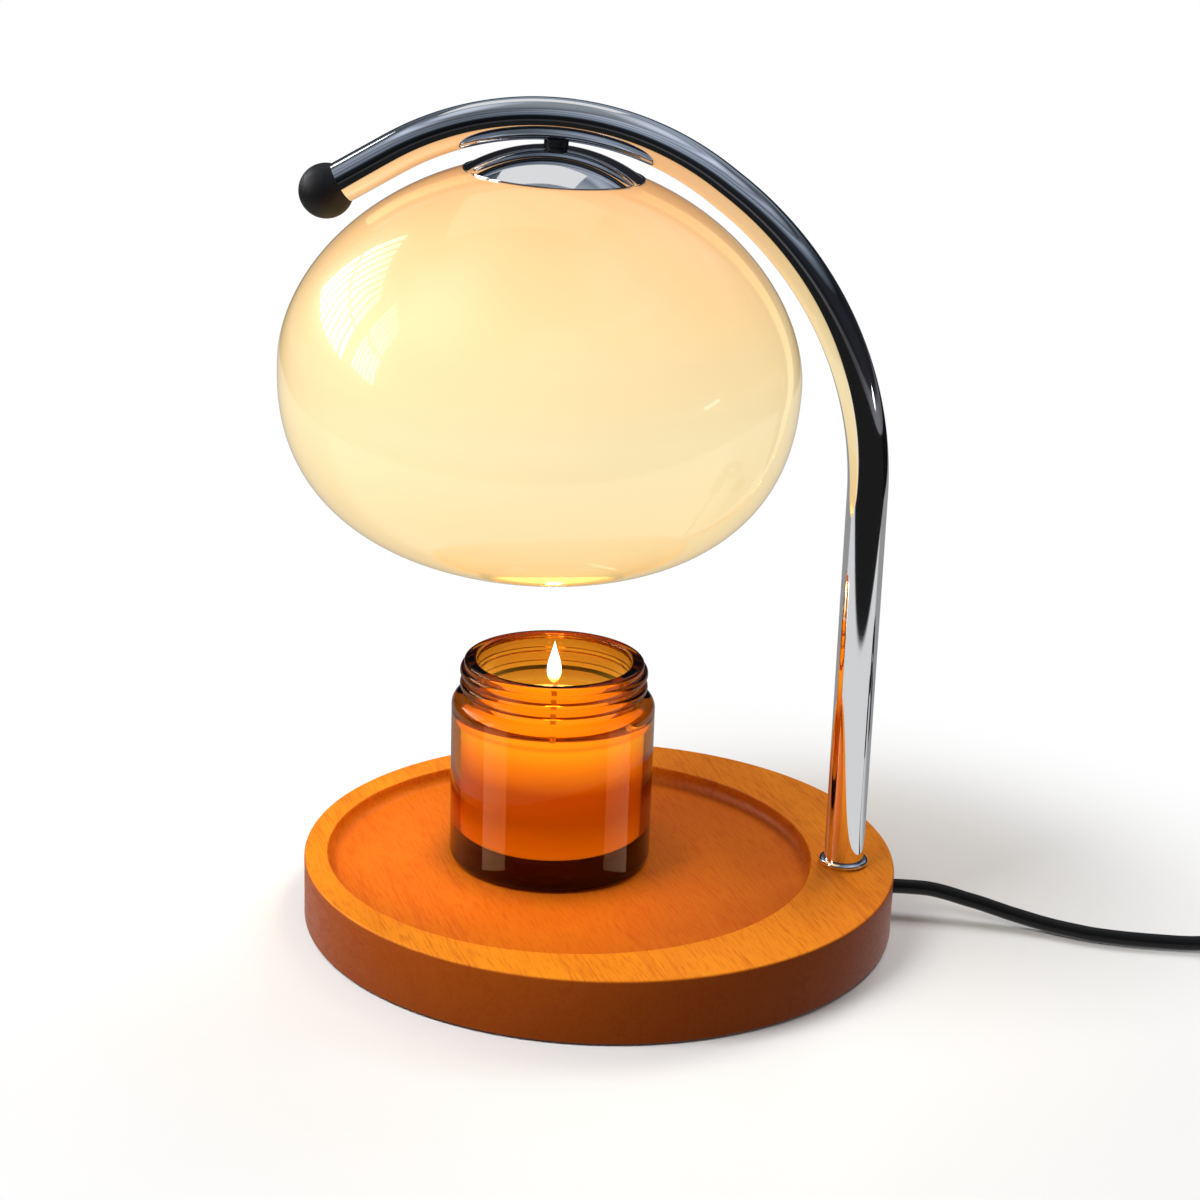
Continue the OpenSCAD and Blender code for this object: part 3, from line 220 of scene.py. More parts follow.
def turned(profile, columns=96):
    """Surface of revolution: (r, z) turned about Z by the angle v."""
    return circle_rows(np.pad(profile, ((0, 0), (2, 0))), columns)


def on_head(points):
    """Moves points that have z along the shade's axis, from the arm's centre line, to their place."""
    side = np.cross([0.0, 1.0, 0.0], head_up)
    axes = np.stack([side, [0.0, 1.0, 0.0], head_up])
    return head + points @ axes


def tube(path, radius, columns, first=(0.0, 1.0, 0.0)):
    """Tube: each path point plus r (cos v n + sin v b), with the normal n carried along without twist.

    The radius is one number or one for each point, and the rows close to a point at both ends.
    """
    path = np.asarray(path, dtype=float)
    t = np.gradient(path, axis=0)
    t /= np.linalg.norm(t, axis=1, keepdims=True)
    n = np.empty_like(t)
    last = np.asarray(first, dtype=float)
    for i, way in enumerate(t):
        last = last - way * (last @ way)
        last /= np.linalg.norm(last)
        n[i] = last
    b = np.cross(t, n)
    v = np.linspace(0, 2 * math.pi, columns, endpoint=False)
    r = np.broadcast_to(np.asarray(radius, dtype=float), len(path))[:, None, None]
    round_ = np.cos(v)[None, :, None] * n[:, None] + np.sin(v)[None, :, None] * b[:, None]
    rows = path[:, None] + r * round_
    ends = [np.broadcast_to(path[i], (1, columns, 3)) for i in (0, -1)]
    return np.concatenate([ends[0], rows, ends[1]])


def smooth_path(points, steps=6):
    """Catmull-Rom curve through the points: on each span, a cubic whose slopes are half the chords."""
    p = np.asarray(points, dtype=float)
    p = np.concatenate([[2 * p[0] - p[1]], p, [2 * p[-1] - p[-2]]])
    t = np.linspace(0, 1, steps, endpoint=False)[None, :, None]
    a, b, c, d = (p[i:len(p) - 3 + i, None] for i in range(4))
    curve = 0.5 * (2 * b + (c - a) * t + (2 * a - 5 * b + 4 * c - d) * t ** 2
                   + (3 * b - a - 3 * c + d) * t ** 3)
    return np.concatenate([curve.reshape(-1, 3), p[-2:-1]])


def merged(mesh):
    """A work copy of a mesh with its double points merged."""
    work = bmesh.new()
    work.from_mesh(mesh)
    bmesh.ops.remove_doubles(work, verts=work.verts, dist=merge_distance)
    return work


def add_object(name, data):
    """Makes an object of a mesh, light or camera and puts it into the scene."""
    made = bpy.data.objects.new(name, data)
    bpy.context.scene.collection.objects.link(made)
    return made


def add_piece(name, points, body, slot, replaces=(), corner=35.0, finish=None):
    """Makes a piece of a grid of points whose columns close round, with a UV map of (column, row) shares."""
    rows, columns = points.shape[:2]
    r, c = np.meshgrid(np.arange(rows - 1), np.arange(columns), indexing="ij")
    right = (c + 1) % columns
    near, far = r * columns, (r + 1) * columns
    quads = np.stack([near + c, near + right, far + right, far + c], axis=-1).reshape(-1, 4)
    mesh = bpy.data.meshes.new(name)
    mesh.from_pydata(points.reshape(-1, 3).tolist(), [], quads.tolist())
    u = np.stack([c, c + 1, c + 1, c], axis=-1) / columns
    v = np.stack([r, r, r + 1, r + 1], axis=-1) / (rows - 1)
    mesh.uv_layers.new(name="UVMap").data.foreach_set("uv", np.stack([u, v], axis=-1).ravel())
    work = merged(mesh)
    bmesh.ops.recalc_face_normals(work, faces=work.faces)
    return finish_piece(work, mesh, name, body, slot, replaces, corner, finish)


def softened(node, name, body, slot, width):
    """Makes a copy of a CAD node with its triangles merged, its flat faces joined and its edges rounded."""
    mesh = frame["nodes"][node].data.copy()
    mesh.materials.clear()
    work = merged(mesh)
    bmesh.ops.dissolve_limit(work, angle_limit=math.radians(0.5), verts=work.verts, edges=work.edges)
    piece = finish_piece(work, mesh, name, body, slot, [node])
    bevel = piece.modifiers.new("edges", "BEVEL")
    bevel.width, bevel.segments = width, 3
    bevel.limit_method, bevel.angle_limit = "ANGLE", math.radians(40)
    bevel.harden_normals = True
    return piece


def finish_piece(work, mesh, name, body, slot, replaces, corner=35.0, finish=None):
    """Shades the worked mesh smooth up to the corner angle and makes it a piece that rides on its body."""
    work.to_mesh(mesh)
    work.free()
    mesh.shade_smooth()
    mesh.set_sharp_from_angle(angle=math.radians(corner))
    mesh.materials.append(finishes[finish or slot])
    piece = add_object(name, mesh)
    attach(piece, body)
    if replaces:
        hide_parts(*replaces)
    return piece


class Nodes:
    """A node tree being built, with helpers that add nodes and give back their outputs."""

    def __init__(self, tree, coordinates):
        self.tree = tree
        self.where = self.node("TexCoord").outputs[coordinates]

    def feed(self, socket, value):
        """Links a source to the socket or sets its value, where a colour of three numbers becomes opaque."""
        if isinstance(value, bpy.types.NodeSocket):
            self.tree.links.new(value, socket)
        elif socket.type == "RGBA" and len(value) == 3:
            socket.default_value = (*value, 1.0)
        else:
            socket.default_value = value

    def node(self, kind, inputs=None, **values):
        """Adds a node, sets its values and feeds its inputs, which are given by name or number."""
        made = self.tree.nodes.new("ShaderNode" + kind)
        for key, value in values.items():
            setattr(made, key, value)
        for key, value in (inputs or {}).items():
            self.feed(made.inputs[key], value)
        return made

    def stretched(self, scale, turn=0.0):
        """The coordinates turned about Z by degrees and divided by a scale, where a scale of 0 gives 0."""
        turns = (0.0, 0.0, math.radians(turn))
        return self.node("Mapping", {"Vector": self.where, "Rotation": turns, "Scale": scale},
                         vector_type="TEXTURE").outputs["Vector"]

    def noise(self, scale, detail=4.0, rough=0.55, vector=None, distortion=0.0):
        return self.node("TexNoise", {"Vector": vector or self.where, "Scale": scale, "Detail": detail,
                                      "Roughness": rough, "Distortion": distortion}).outputs["Fac"]

    def ramp(self, source, stops):
        """Colour ramp; each stop is a place from 0 to 1 with a colour or a grey."""
        made = self.node("ValToRGB", {"Fac": source})
        elements = made.color_ramp.elements
        for i, (place, value) in enumerate(stops):
            stop = elements[i] if i < 2 else elements.new(place)
            stop.position = place
            stop.color = (*value, 1.0) if isinstance(value, tuple) else (value, value, value, 1.0)
        return made.outputs["Color"]

    def blend(self, factor, first, second, mode="MIX"):
        """Mixes two colours; each is a socket or a colour."""
        mixed = self.node("Mix", {0: factor, 6: first, 7: second}, data_type="RGBA", blend_type=mode)
        return mixed.outputs[2]

    def mix_shaders(self, factor, first, second):
        return self.node("MixShader", {0: factor, 1: first, 2: second}).outputs["Shader"]

    def span(self, source, low, high, to_low, to_high, kind="LINEAR"):
        """Maps a value's span to another, with clamped ends."""
        return self.node("MapRange", {"Value": source, "From Min": low, "From Max": high, "To Min": to_low,
                                      "To Max": to_high}, interpolation_type=kind).outputs["Result"]

    def axis(self, name, vector=None):
        return self.node("SeparateXYZ", {"Vector": vector or self.where}).outputs[name]

    def math(self, operation, first, second):
        return self.node("Math", {0: first, 1: second}, operation=operation).outputs["Value"]

    def vector_math(self, operation, *vectors):
        return self.node("VectorMath", dict(enumerate(vectors)), operation=operation).outputs


class Finish(Nodes):
    """A material being built: a Principled shader fed by procedural nodes."""

    def __init__(self, name, base, roughness, metallic=0.0, **sockets):
        self.material = bpy.data.materials.new(name)
        self.material.use_nodes = True
        super().__init__(self.material.node_tree, "Object")
        self.shader = self.tree.nodes["Principled BSDF"]
        self.output = self.tree.nodes["Material Output"]
        sockets.update(base_color=base, roughness=roughness, metallic=metallic)
        for socket, value in sockets.items():
            self.to(value, socket.replace("_", " ").title().replace("Ior", "IOR"))

    def to(self, value, socket):
        """Gives a source or a value to a socket of the shader."""
        self.feed(self.shader.inputs[socket], value)

    def bump(self, source, strength, distance):
        inputs = {"Height": source, "Strength": strength, "Distance": distance}
        self.to(self.node("Bump", inputs).outputs["Normal"], "Normal")


# How far a noise value usually swings about its middle of 0.5
quiet, loud = 0.3, 0.7


def plain_finish(name, base, roughness, metallic, grain, depth, spread=0.12, sockets=None):
    """A moulded, cast or plated surface: fine grain in its relief, colour and gloss."""
    f = Finish(name, base, roughness, metallic, **(sockets or {}))
    cloud, gloss_spread = f.noise(60.0), 0.15
    low, high = (tuple(min(1.0, c * share) for c in base) for share in (1 - spread, 1 + spread))
    f.to(f.ramp(cloud, ((quiet, low), (loud, high))), "Base Color")
    f.to(f.span(cloud, quiet, loud, roughness * (1 - gloss_spread), min(1.0, roughness * (1 + gloss_spread))),
         "Roughness")
    f.bump(f.noise(grain, 3.0), 0.5, depth * mm)
    return f.material


def lacquered_wood(settings):
    """Orange-stained wood under satin lacquer, with pores, veins and a soft figure along its turned grain.

    Shade is painted on: the wood is darker down in the dish and on the outer side, found by height, radius
    and normal.
    """
    light, dark = tuple(settings.wood_light), tuple(settings.wood_dark)
    f = Finish("lacquered_wood", light, 0.42, specular_ior_level=0.12)
    # The last two numbers are shares of painted shade: how far the dish and the outer side are darkened
    # towards the dark wood
    grain_turn, dish_painted_shade, side_painted_shade = 22.0, 0.58, 0.80
    pores = f.noise(1500.0, 3.0, 0.6, f.stretched((1.0, 12.0, 1.5), grain_turn))
    veins = f.noise(150.0, 3.0, 0.5, f.stretched((1.0, 18.0, 2.0), grain_turn), 0.6)
    figure = f.noise(42.0, 5.0, 0.65, f.stretched((1.0, 3.5, 1.5), grain_turn), 0.8)
    stain = f.noise(15.0, 3.0)
    base = f.ramp(figure, ((quiet, tuple(0.72 * l + 0.28 * d for l, d in zip(light, dark))), (0.68, light)))
    for source, stops in ((stain, ((0.42, 0.0), (0.68, 0.25))), (pores, ((0.34, 0.40), (0.50, 0.0))),
                          (veins, ((0.48, 0.0), (0.50, 0.35), (0.52, 0.0)))):
        base = f.blend(f.ramp(source, stops), base, dark)
    # Painted shade down in the dish, darkest on its floor, found from the height
    sunk = f.span(f.axis("Z"), base_top - settings.dish_depth, base_top - mm, dish_painted_shade, 0.0)
    # Painted shade on the outer side: upright faces near the edge are darkened, found from the normal and the
    # radius
    upright = f.span(f.axis("Z", f.node("NewGeometry").outputs["Normal"]), 0.3, 0.8, side_painted_shade, 0.0)
    reach = f.vector_math("LENGTH", f.stretched((1.0, 1.0, 0.0)))["Value"]
    rim = f.span(reach, base_r - 3 * mm, base_r - mm, 0.0, 1.0)
    f.to(f.blend(f.math("MAXIMUM", sunk, f.math("MULTIPLY", rim, upright)), base, dark), "Base Color")
    f.to(f.span(pores, 0.3, 0.6, 0.5, 0.38), "Roughness")
    f.bump(pores, 0.35, 0.05 * mm)
    return f.material


def polished_chrome(settings):
    """Chrome: a mirror with a trace of orange peel and hair-fine wipe marks in its gloss."""
    f = Finish("polished_chrome", settings.chrome, 0.045, 1.0)
    wipes = f.noise(500.0, 4.0, 0.6, f.stretched((1.0, 1.0, 0.08)))
    f.to(f.span(wipes, 0.35, 0.75, 0.03, 0.075), "Roughness")
    f.bump(f.noise(220.0, 2.0), 0.1, 0.01 * mm)
    return f.material


# Glow of the lit opal glass from its mouth to its cap, and of the wax, flame and wick from foot to top
opal_glow = ((0.0, (0.92, 0.75, 0.33)), (0.15, (0.93, 0.81, 0.48)), (0.45, (0.93, 0.86, 0.59)),
             (0.70, (0.90, 0.73, 0.43)), (0.88, (0.86, 0.57, 0.31)), (1.0, (0.80, 0.42, 0.19)))
wax_glow = ((0.0, (0.60, 0.31, 0.03)), (0.35, (0.34, 0.125, 0.012)), (0.60, (0.40, 0.125, 0.010)),
            (0.84, (0.98, 0.60, 0.05)), (0.965, (1.0, 0.98, 0.15)), (1.0, (1.0, 0.58, 0.08)))
flame_glow = ((0.0, (0.9, 0.25, 0.03)), (0.18, (1.0, 0.80, 0.40)), (0.45, (1.0, 0.96, 0.85)),
              (0.85, (1.0, 0.90, 0.60)), (1.0, (1.0, 0.6, 0.2)))
wick_glow = ((0.0, (1.0, 0.62, 0.08)), (0.7, (0.85, 0.28, 0.02)), (1.0, (0.60, 0.05, 0.0)))


def glow_by_height(f, low, high, stops, strength, uneven=None, share=0.0):
    """Gives a finish its glow between two heights, unevened by a source where one is given."""
    glow = f.ramp(f.span(f.axis("Z"), low, high, 0.0, 1.0), stops)
    if uneven:
        glow = f.blend(share, glow, uneven, "MULTIPLY")
    f.to(glow, "Emission Color")
    f.to(strength, "Emission Strength")


def opal_glass(settings):
    """Cased opal glass: the lit milk layer glows below a clear tinted layer, which is the shader's coat."""
    f = Finish("opal_glass", settings.milk, 0.30, coat_weight=1.0, coat_roughness=0.015,
               coat_tint=settings.edge, coat_ior=1.45)
    cloud = f.ramp(f.noise(9.0, 2.0), ((quiet, 0.75), (loud, 1.0)))
    mouth_z, cap_z = head[2] - 127 * mm, head[2] - 15 * mm
    glow_by_height(f, mouth_z, cap_z, opal_glow, 1.0, cloud, 0.05)
    return f.material


def amber_glass(settings):
    """Amber glass: it tints light at its surfaces and through its body, and is darker in its thick foot."""
    amber, foot_tint, foot = tuple(settings.amber), (0.34, 0.12, 0.015), 10 * mm
    f = Finish("amber_glass", amber, 0.012, transmission_weight=1.0, ior=1.45,
               specular_tint=(1.0, 0.52, 0.20))
    rise = f.span(f.axis("Z"), jar_low[2], jar_low[2] + foot, 0.0, 1.0)
    f.to(f.ramp(rise, ((0.55, foot_tint), (1.0, amber))), "Base Color")
    body = f.node("VolumeAbsorption", {"Color": (0.89, 0.84, 0.80), "Density": 1000.0})
    f.feed(f.output.inputs["Volume"], body.outputs["Volume"])
    f.bump(f.noise(45.0, 2.0), 0.25, 0.06 * mm)
    return f.material


def candle_wax(settings):
    """Wax: soft below the surface, glowing most at its top by the flame, with faint settling bands."""
    f = Finish("candle_wax", settings.wax, 0.42, subsurface_weight=0.2, subsurface_scale=4 * mm,
               subsurface_radius=(1.0, 0.45, 0.15))
    bands = f.ramp(f.noise(60.0, 2.0, 0.5, f.stretched((1.0, 1.0, 0.12))), ((quiet, 0.7), (loud, 1.0)))
    glow_by_height(f, wax_low[2], wax_high[2], wax_glow, 1.45, bands, 0.12)
    f.bump(f.noise(160.0, 3.0), 0.2, 0.05 * mm)
    return f.material


def flame_light():
    """Flame: a pale hot body that turns orange at its foot and tip."""
    f = Finish("flame_light", (0.0, 0.0, 0.0), 1.0)
    foot_z, tip_z = wax_high[2] + 12 * mm, wax_high[2] + 25 * mm
    glow_by_height(f, foot_z, tip_z, flame_glow, 5.0)
    return f.material


def bulb_light():
    """Front lens of the lit bulb: pressed dimples in warm bright glass."""
    f = Finish("bulb_light", (1.0, 0.95, 0.85), 0.15, coat_weight=0.6, emission_strength=2.4)
    cells = f.node("TexVoronoi", {"Vector": f.where, "Scale": 260.0}).outputs["Distance"]
    f.to(f.ramp(cells, ((0.0, (1.0, 0.86, 0.55)), (0.8, (1.0, 0.62, 0.28)))), "Emission Color")
    f.bump(cells, 0.6, 0.3 * mm)
    return f.material


def braided_cotton():
    """Wick: diagonal charred strands that glow from yellow at the wax to red at the tip."""
    f = Finish("braided_cotton", (0.05, 0.035, 0.03), 0.95)
    wave = f.node("TexWave", {"Vector": f.where, "Scale": 500.0, "Distortion": 1.5},
                  bands_direction="DIAGONAL").outputs["Fac"]
    f.to(f.ramp(wave, ((0.2, (0.02, 0.014, 0.012)), (0.9, (0.12, 0.07, 0.045)))), "Base Color")
    wick_tip_z = wax_high[2] + 14 * mm
    glow_by_height(f, wax_high[2], wick_tip_z, wick_glow, 1.0)
    f.bump(wave, 0.8, 0.15 * mm)
    return f.material


def cord_jacket():
    """Cord: smooth black jacket with faint drawn lines along it, from its UV map."""
    f = Finish("cord_jacket", (0.008, 0.008, 0.009), 0.32, specular_ior_level=0.25)
    lines = f.node("Mapping", {"Vector": f.node("TexCoord").outputs["UV"], "Scale": (40.0, 60.0, 1.0)})
    drawn = f.noise(3.0, 3.0, 0.6, lines.outputs["Vector"])
    f.to(f.ramp(drawn, ((quiet, 0.005), (0.8, 0.012))), "Base Color")
    f.to(f.span(drawn, quiet, loud, 0.24, 0.40), "Roughness")
    f.bump(f.noise(1500.0, 2.0), 0.15, 0.01 * mm)
    return f.material


def brushed_steel(name, base, roughness):
    """Plated or rolled steel: fine lines along X in colour and gloss."""
    f = Finish(name, base, roughness, 1.0)
    lines = f.noise(2200.0, 3.0, 0.6, f.stretched((40.0, 1.0, 1.0)))
    f.to(f.ramp(lines, ((quiet, tuple(c * 0.8 for c in base)), (loud, base))), "Base Color")
    f.to(f.span(lines, quiet, loud, roughness * 0.8, roughness * 1.3), "Roughness")
    f.bump(lines, 0.3, 0.01 * mm)
    return f.material


# Steels by slot: name, colour and roughness
steels = {
    "steel_plate": ("rolled_steel", (0.22, 0.22, 0.23), 0.42),
    "screw_steel": ("screw_steel", (0.60, 0.60, 0.62), 0.28),
    "zinc_steel": ("zinc_plate", (0.66, 0.67, 0.70), 0.32),
    "brass": ("brass", (0.78, 0.55, 0.22), 0.26),
}
# Plain finishes by slot: name, colour, roughness, metallic, grain's scale, depth in mm, spread, more sockets
plains = {
    "bulb_mirror": ("aluminised_glass", (0.88, 0.88, 0.90), 0.08, 1.0, 300.0, 0.01, 0.04),
    "dark_metal": ("black_oxide", (0.035, 0.036, 0.040), 0.24, 0.6, 700.0, 0.02),
    "ball_plastic": ("satin_black", (0.006, 0.006, 0.007), 0.50, 0.0, 2200.0, 0.03, 0.12,
                     {"specular_ior_level": 0.3}),
    "cover_paint": ("powder_coat", (0.018, 0.018, 0.018), 0.62, 0.0, 1400.0, 0.08),
    "foot_rubber": ("foam_rubber", (0.02, 0.02, 0.021), 0.85, 0.0, 1100.0, 0.15),
    "black_plastic": ("textured_black", (0.02, 0.02, 0.021), 0.5, 0.0, 1700.0, 0.05),
    "plug_plastic": ("moulded_black", (0.017, 0.017, 0.018), 0.44, 0.0, 1500.0, 0.04),
    "wheel_plastic": ("grey_plastic", (0.06, 0.06, 0.066), 0.45, 0.0, 1500.0, 0.04),
    "tie_plastic": ("tie_black", (0.03, 0.03, 0.031), 0.6, 0.0, 1500.0, 0.05),
    "wire_plastic": ("wire_sleeve", (0.30, 0.13, 0.05), 0.5, 0.0, 1200.0, 0.02),
    "silicone": ("silicone", (0.78, 0.77, 0.72), 0.55, 0.0, 900.0, 0.02, 0.04),
    "ceramic": ("glazed_ceramic", (0.86, 0.84, 0.78), 0.14, 0.0, 400.0, 0.02, 0.04, {"coat_weight": 0.5}),
    "circuit_board": ("solder_mask", (0.03, 0.16, 0.06), 0.35, 0.0, 1200.0, 0.03, 0.25),
}
finishes = {}


def make_finishes():
    """Builds every material once and gives each CAD node the one of its slot."""
    scene = bpy.context.scene
    finishes.update({
        "wood": lacquered_wood(scene.lamp_base),
        "chrome": polished_chrome(scene.lamp_arm),
        "opal_glass": opal_glass(scene.lamp_shade),
        "amber_glass": amber_glass(scene.lamp_candle),
        "wax": candle_wax(scene.lamp_candle),
        "flame": flame_light(),
        "bulb_glass": bulb_light(),
        "wick": braided_cotton(),
        "cord_rubber": cord_jacket(),
    })
    finishes.update({slot: brushed_steel(*values) for slot, values in steels.items()})
    finishes.update({slot: plain_finish(*values) for slot, values in plains.items()})
    slots = {s["node"]: s["material_slot"] for s in frame["record"]["subparts"]}
    for node, piece in frame["nodes"].items():
        piece.data.materials.clear()
        piece.data.materials.append(finishes[slots[node]])


class LAMP_OT_base(bpy.types.Operator):
    """Turned wooden base with an eccentric dish"""
    bl_idname = "lamp.base"
    bl_label = "Base"

    def execute(self, context):
        s = context.scene.lamp_base
        radius, top, low = base_r, base_top, base_low[2]
        cover_low, cover_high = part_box("bottom_cover")
        cover_r = (cover_high[0] - cover_low[0]) / 2
        far, near = radius - s.rim, arm_foot_x - collar_r - s.land
        dish_r, dish_x = (far + near) / 2, (near - far) / 2
        floor = top - s.dish_depth
        foot = s.edge_round / 2
        outer = np.concatenate([
            [(0, cover_high[2]), (cover_r * 0.9, cover_high[2]), (cover_r, cover_high[2]), (cover_r, low)],
            arc((radius - foot, low + foot), foot, -90, 0, 5),
            arc((radius - s.edge_round, top - s.edge_round), s.edge_round, 0, 90, 10)])
        inner = np.concatenate([
            arc((dish_r + s.dish_round, top - s.dish_round), s.dish_round, 90, 180, 8),
            arc((dish_r - s.dish_cove, floor + s.dish_cove), s.dish_cove, 0, -90, 14),
            np.linspace(((dish_r - s.dish_cove) * 0.9, floor), (0, floor), 8)])
        rows = [(0.0, 0.0, r, z) for r, z in outer]
        start, end = outer[-1][0], inner[0][0]
        rows += [(dish_x * t, 0.0, start + (end - start) * t, top) for t in np.linspace(0.1, 0.9, 9)]
        rows += [(dish_x, 0.0, r, z) for r, z in inner]
        add_piece("turned_base", circle_rows(rows, 256), "lamp", "wood", ["wood_base"], corner=50)
        return {"FINISHED"}


class LAMP_OT_arm(bpy.types.Operator):
    """Bent chrome tube, its collar and the ball on its end"""
    bl_idname = "lamp.arm"
    bl_label = "Arm"

    def execute(self, context):
        s = context.scene.lamp_arm
        top, r = base_top, s.diameter / 2
        rise_z = top + s.rise
        lower, both, square = s.lower_turn, s.lower_turn + s.upper_turn, math.pi / 2
        first = np.array([arm_foot_x - s.lower_radius, rise_z])
        second = (first + (s.lower_radius - s.upper_radius) * heading(lower)
                  + s.middle * heading(lower + square))
        end, out = second + s.upper_radius * heading(both), heading(both + square)
        ball = end + s.tail * out
        straight = np.linspace((arm_foot_x, top - s.socket), (arm_foot_x, rise_z), 24)
        tail = np.linspace(end, end + (s.tail - s.ball / 4) * out, 8)
        line = np.concatenate([
            straight[:-1], arc(first, s.lower_radius, 0, math.degrees(lower), 90),
            arc(second, s.upper_radius, math.degrees(lower), math.degrees(both), 90), tail[1:]])
        path = np.stack([line[:, 0], np.zeros(len(line)), line[:, 1]], axis=1)
        add_piece("bent_tube", tube(path, r, 64), "lamp", "chrome", ["arm_tube"])
        edge = (collar_high[2] - collar_low[2]) / 2
        ring = np.concatenate([
            [(r, 0)], arc((collar_r - edge, edge), edge, -90, 90, 16), [(r, 2 * edge)]])
        add_piece("foot_ring", turned(ring) + (arm_foot_x, 0, top), "lamp", "chrome", ["arm_collar"])
        knob = turned(arc((0, 0), s.ball / 2, -90, 90, 48))
        add_piece("ball_end", knob + (ball[0], 0, ball[1]), "lamp", "ball_plastic", ["end_ball"])
        return {"FINISHED"}


class LAMP_OT_shade(bpy.types.Operator):
    """Opal glass shade with its chrome cap and dark stem"""
    bl_idname = "lamp.shade"
    bl_label = "Shade"

    def execute(self, context):
        s = context.scene.lamp_shade
        arm_r = context.scene.lamp_arm.diameter / 2
        r, hole = s.diameter / 2, s.hole / 2
        cap_r = s.cap / 2
        rim = arm_r + s.stem_height + s.cap_rise
        flat = s.up * (1 - (cap_r / r) ** s.up_power) ** (1 / s.up_power)
        middle = -(rim + flat)
        in_r, in_up, in_down = r - s.wall, s.up - s.wall, s.down - s.wall
        mouth = s.mouth / 2
        under = flat - s.neck
        under_x = in_r * (1 - (under / in_up) ** s.up_power) ** (1 / s.up_power)
        upper = super_curve(r, s.up, s.up_power, cap_r)
        lower = super_curve(r, -s.down, s.down_power, mouth)[::-1]
        in_lower = super_curve(in_r, -in_down, s.down_power, mouth)
        in_upper = super_curve(in_r, in_up, s.up_power, under_x)[::-1]
        lip_low, lip_high = lower[-1], in_lower[0]
        t = np.linspace(0, math.pi, 9)[1:-1, None]
        half = (lip_low - lip_high) / 2
        lip = (lip_low + lip_high) / 2 + half * np.cos(t) - np.array([abs(half[1]) * 0.5, 0]) * np.sin(t)
        glass = np.concatenate([upper, lower[1:], lip, in_lower, in_upper[1:],
                                [(hole, under), (hole, flat), (cap_r, flat)]])
        add_piece("opal_shade", on_head(turned(glass + (0, middle), 192)), "lamp", "opal_glass",
                  ["glass_shade"], corner=40)
        sphere_r = (cap_r ** 2 + s.cap_rise ** 2) / (2 * s.cap_rise)
        edge_a = math.degrees(math.asin(cap_r / sphere_r))
        centre = (0.0, -rim + s.cap_rise - sphere_r)
        bead = s.cap_sheet / 2
        dome = np.concatenate([arc(centre, sphere_r, 90, 90 - edge_a, 48),
                               arc((cap_r - bead, -rim + bead * 0.4), bead, 40, -90, 10),
                               arc(centre, sphere_r - s.cap_sheet, 90 - edge_a, 90, 40)])
        add_piece("shade_dome", on_head(turned(dome, 128)), "lamp", "chrome", ["shade_cap"], corner=60)
        stem_r, grip, into_arm, into_cap = s.stem / 2, s.stem / 12, 0.6 * mm, 0.2 * mm
        top, foot = into_arm - arm_r, s.cap_rise - rim - into_cap
        stem = np.concatenate([[(0, top)], arc((stem_r - grip, top - grip), grip, 90, 0, 6),
                               arc((stem_r - grip, foot + grip), grip, 0, -90, 6), [(0, foot)]])
        add_piece("stem_sleeve", on_head(turned(stem, 64)), "lamp", "dark_metal")
        return {"FINISHED"}


class LAMP_OT_bulb(bpy.types.Operator):
    """Reflector of the bulb, with a smooth flared back"""
    bl_idname = "lamp.bulb"
    bl_label = "Bulb"

    def execute(self, context):
        s = context.scene.lamp_bulb
        neck, wide, flare_power = s.neck / 2, s.width / 2, 0.9
        t = np.linspace(0, 1, 24)
        flare_z = -s.foot - (s.height - s.foot - s.band) * t
        flare_r = neck + (wide - neck) * np.sin(t * math.pi / 2) ** flare_power
        outside = np.stack([flare_r, flare_z], axis=1)
        profile = np.concatenate([[(0, 0)], arc((neck - mm, -mm), mm, 90, 0, 5), outside,
                                  [(wide, -s.height), (wide - s.wall, -s.height)],
                                  outside[::-1] - (s.wall, 0), [(0, -s.foot)]])
        add_piece("flared_reflector", on_head(turned(profile - (0, s.drop))), "bulb", "bulb_mirror",
                  ["bulb_reflector"])
        return {"FINISHED"}


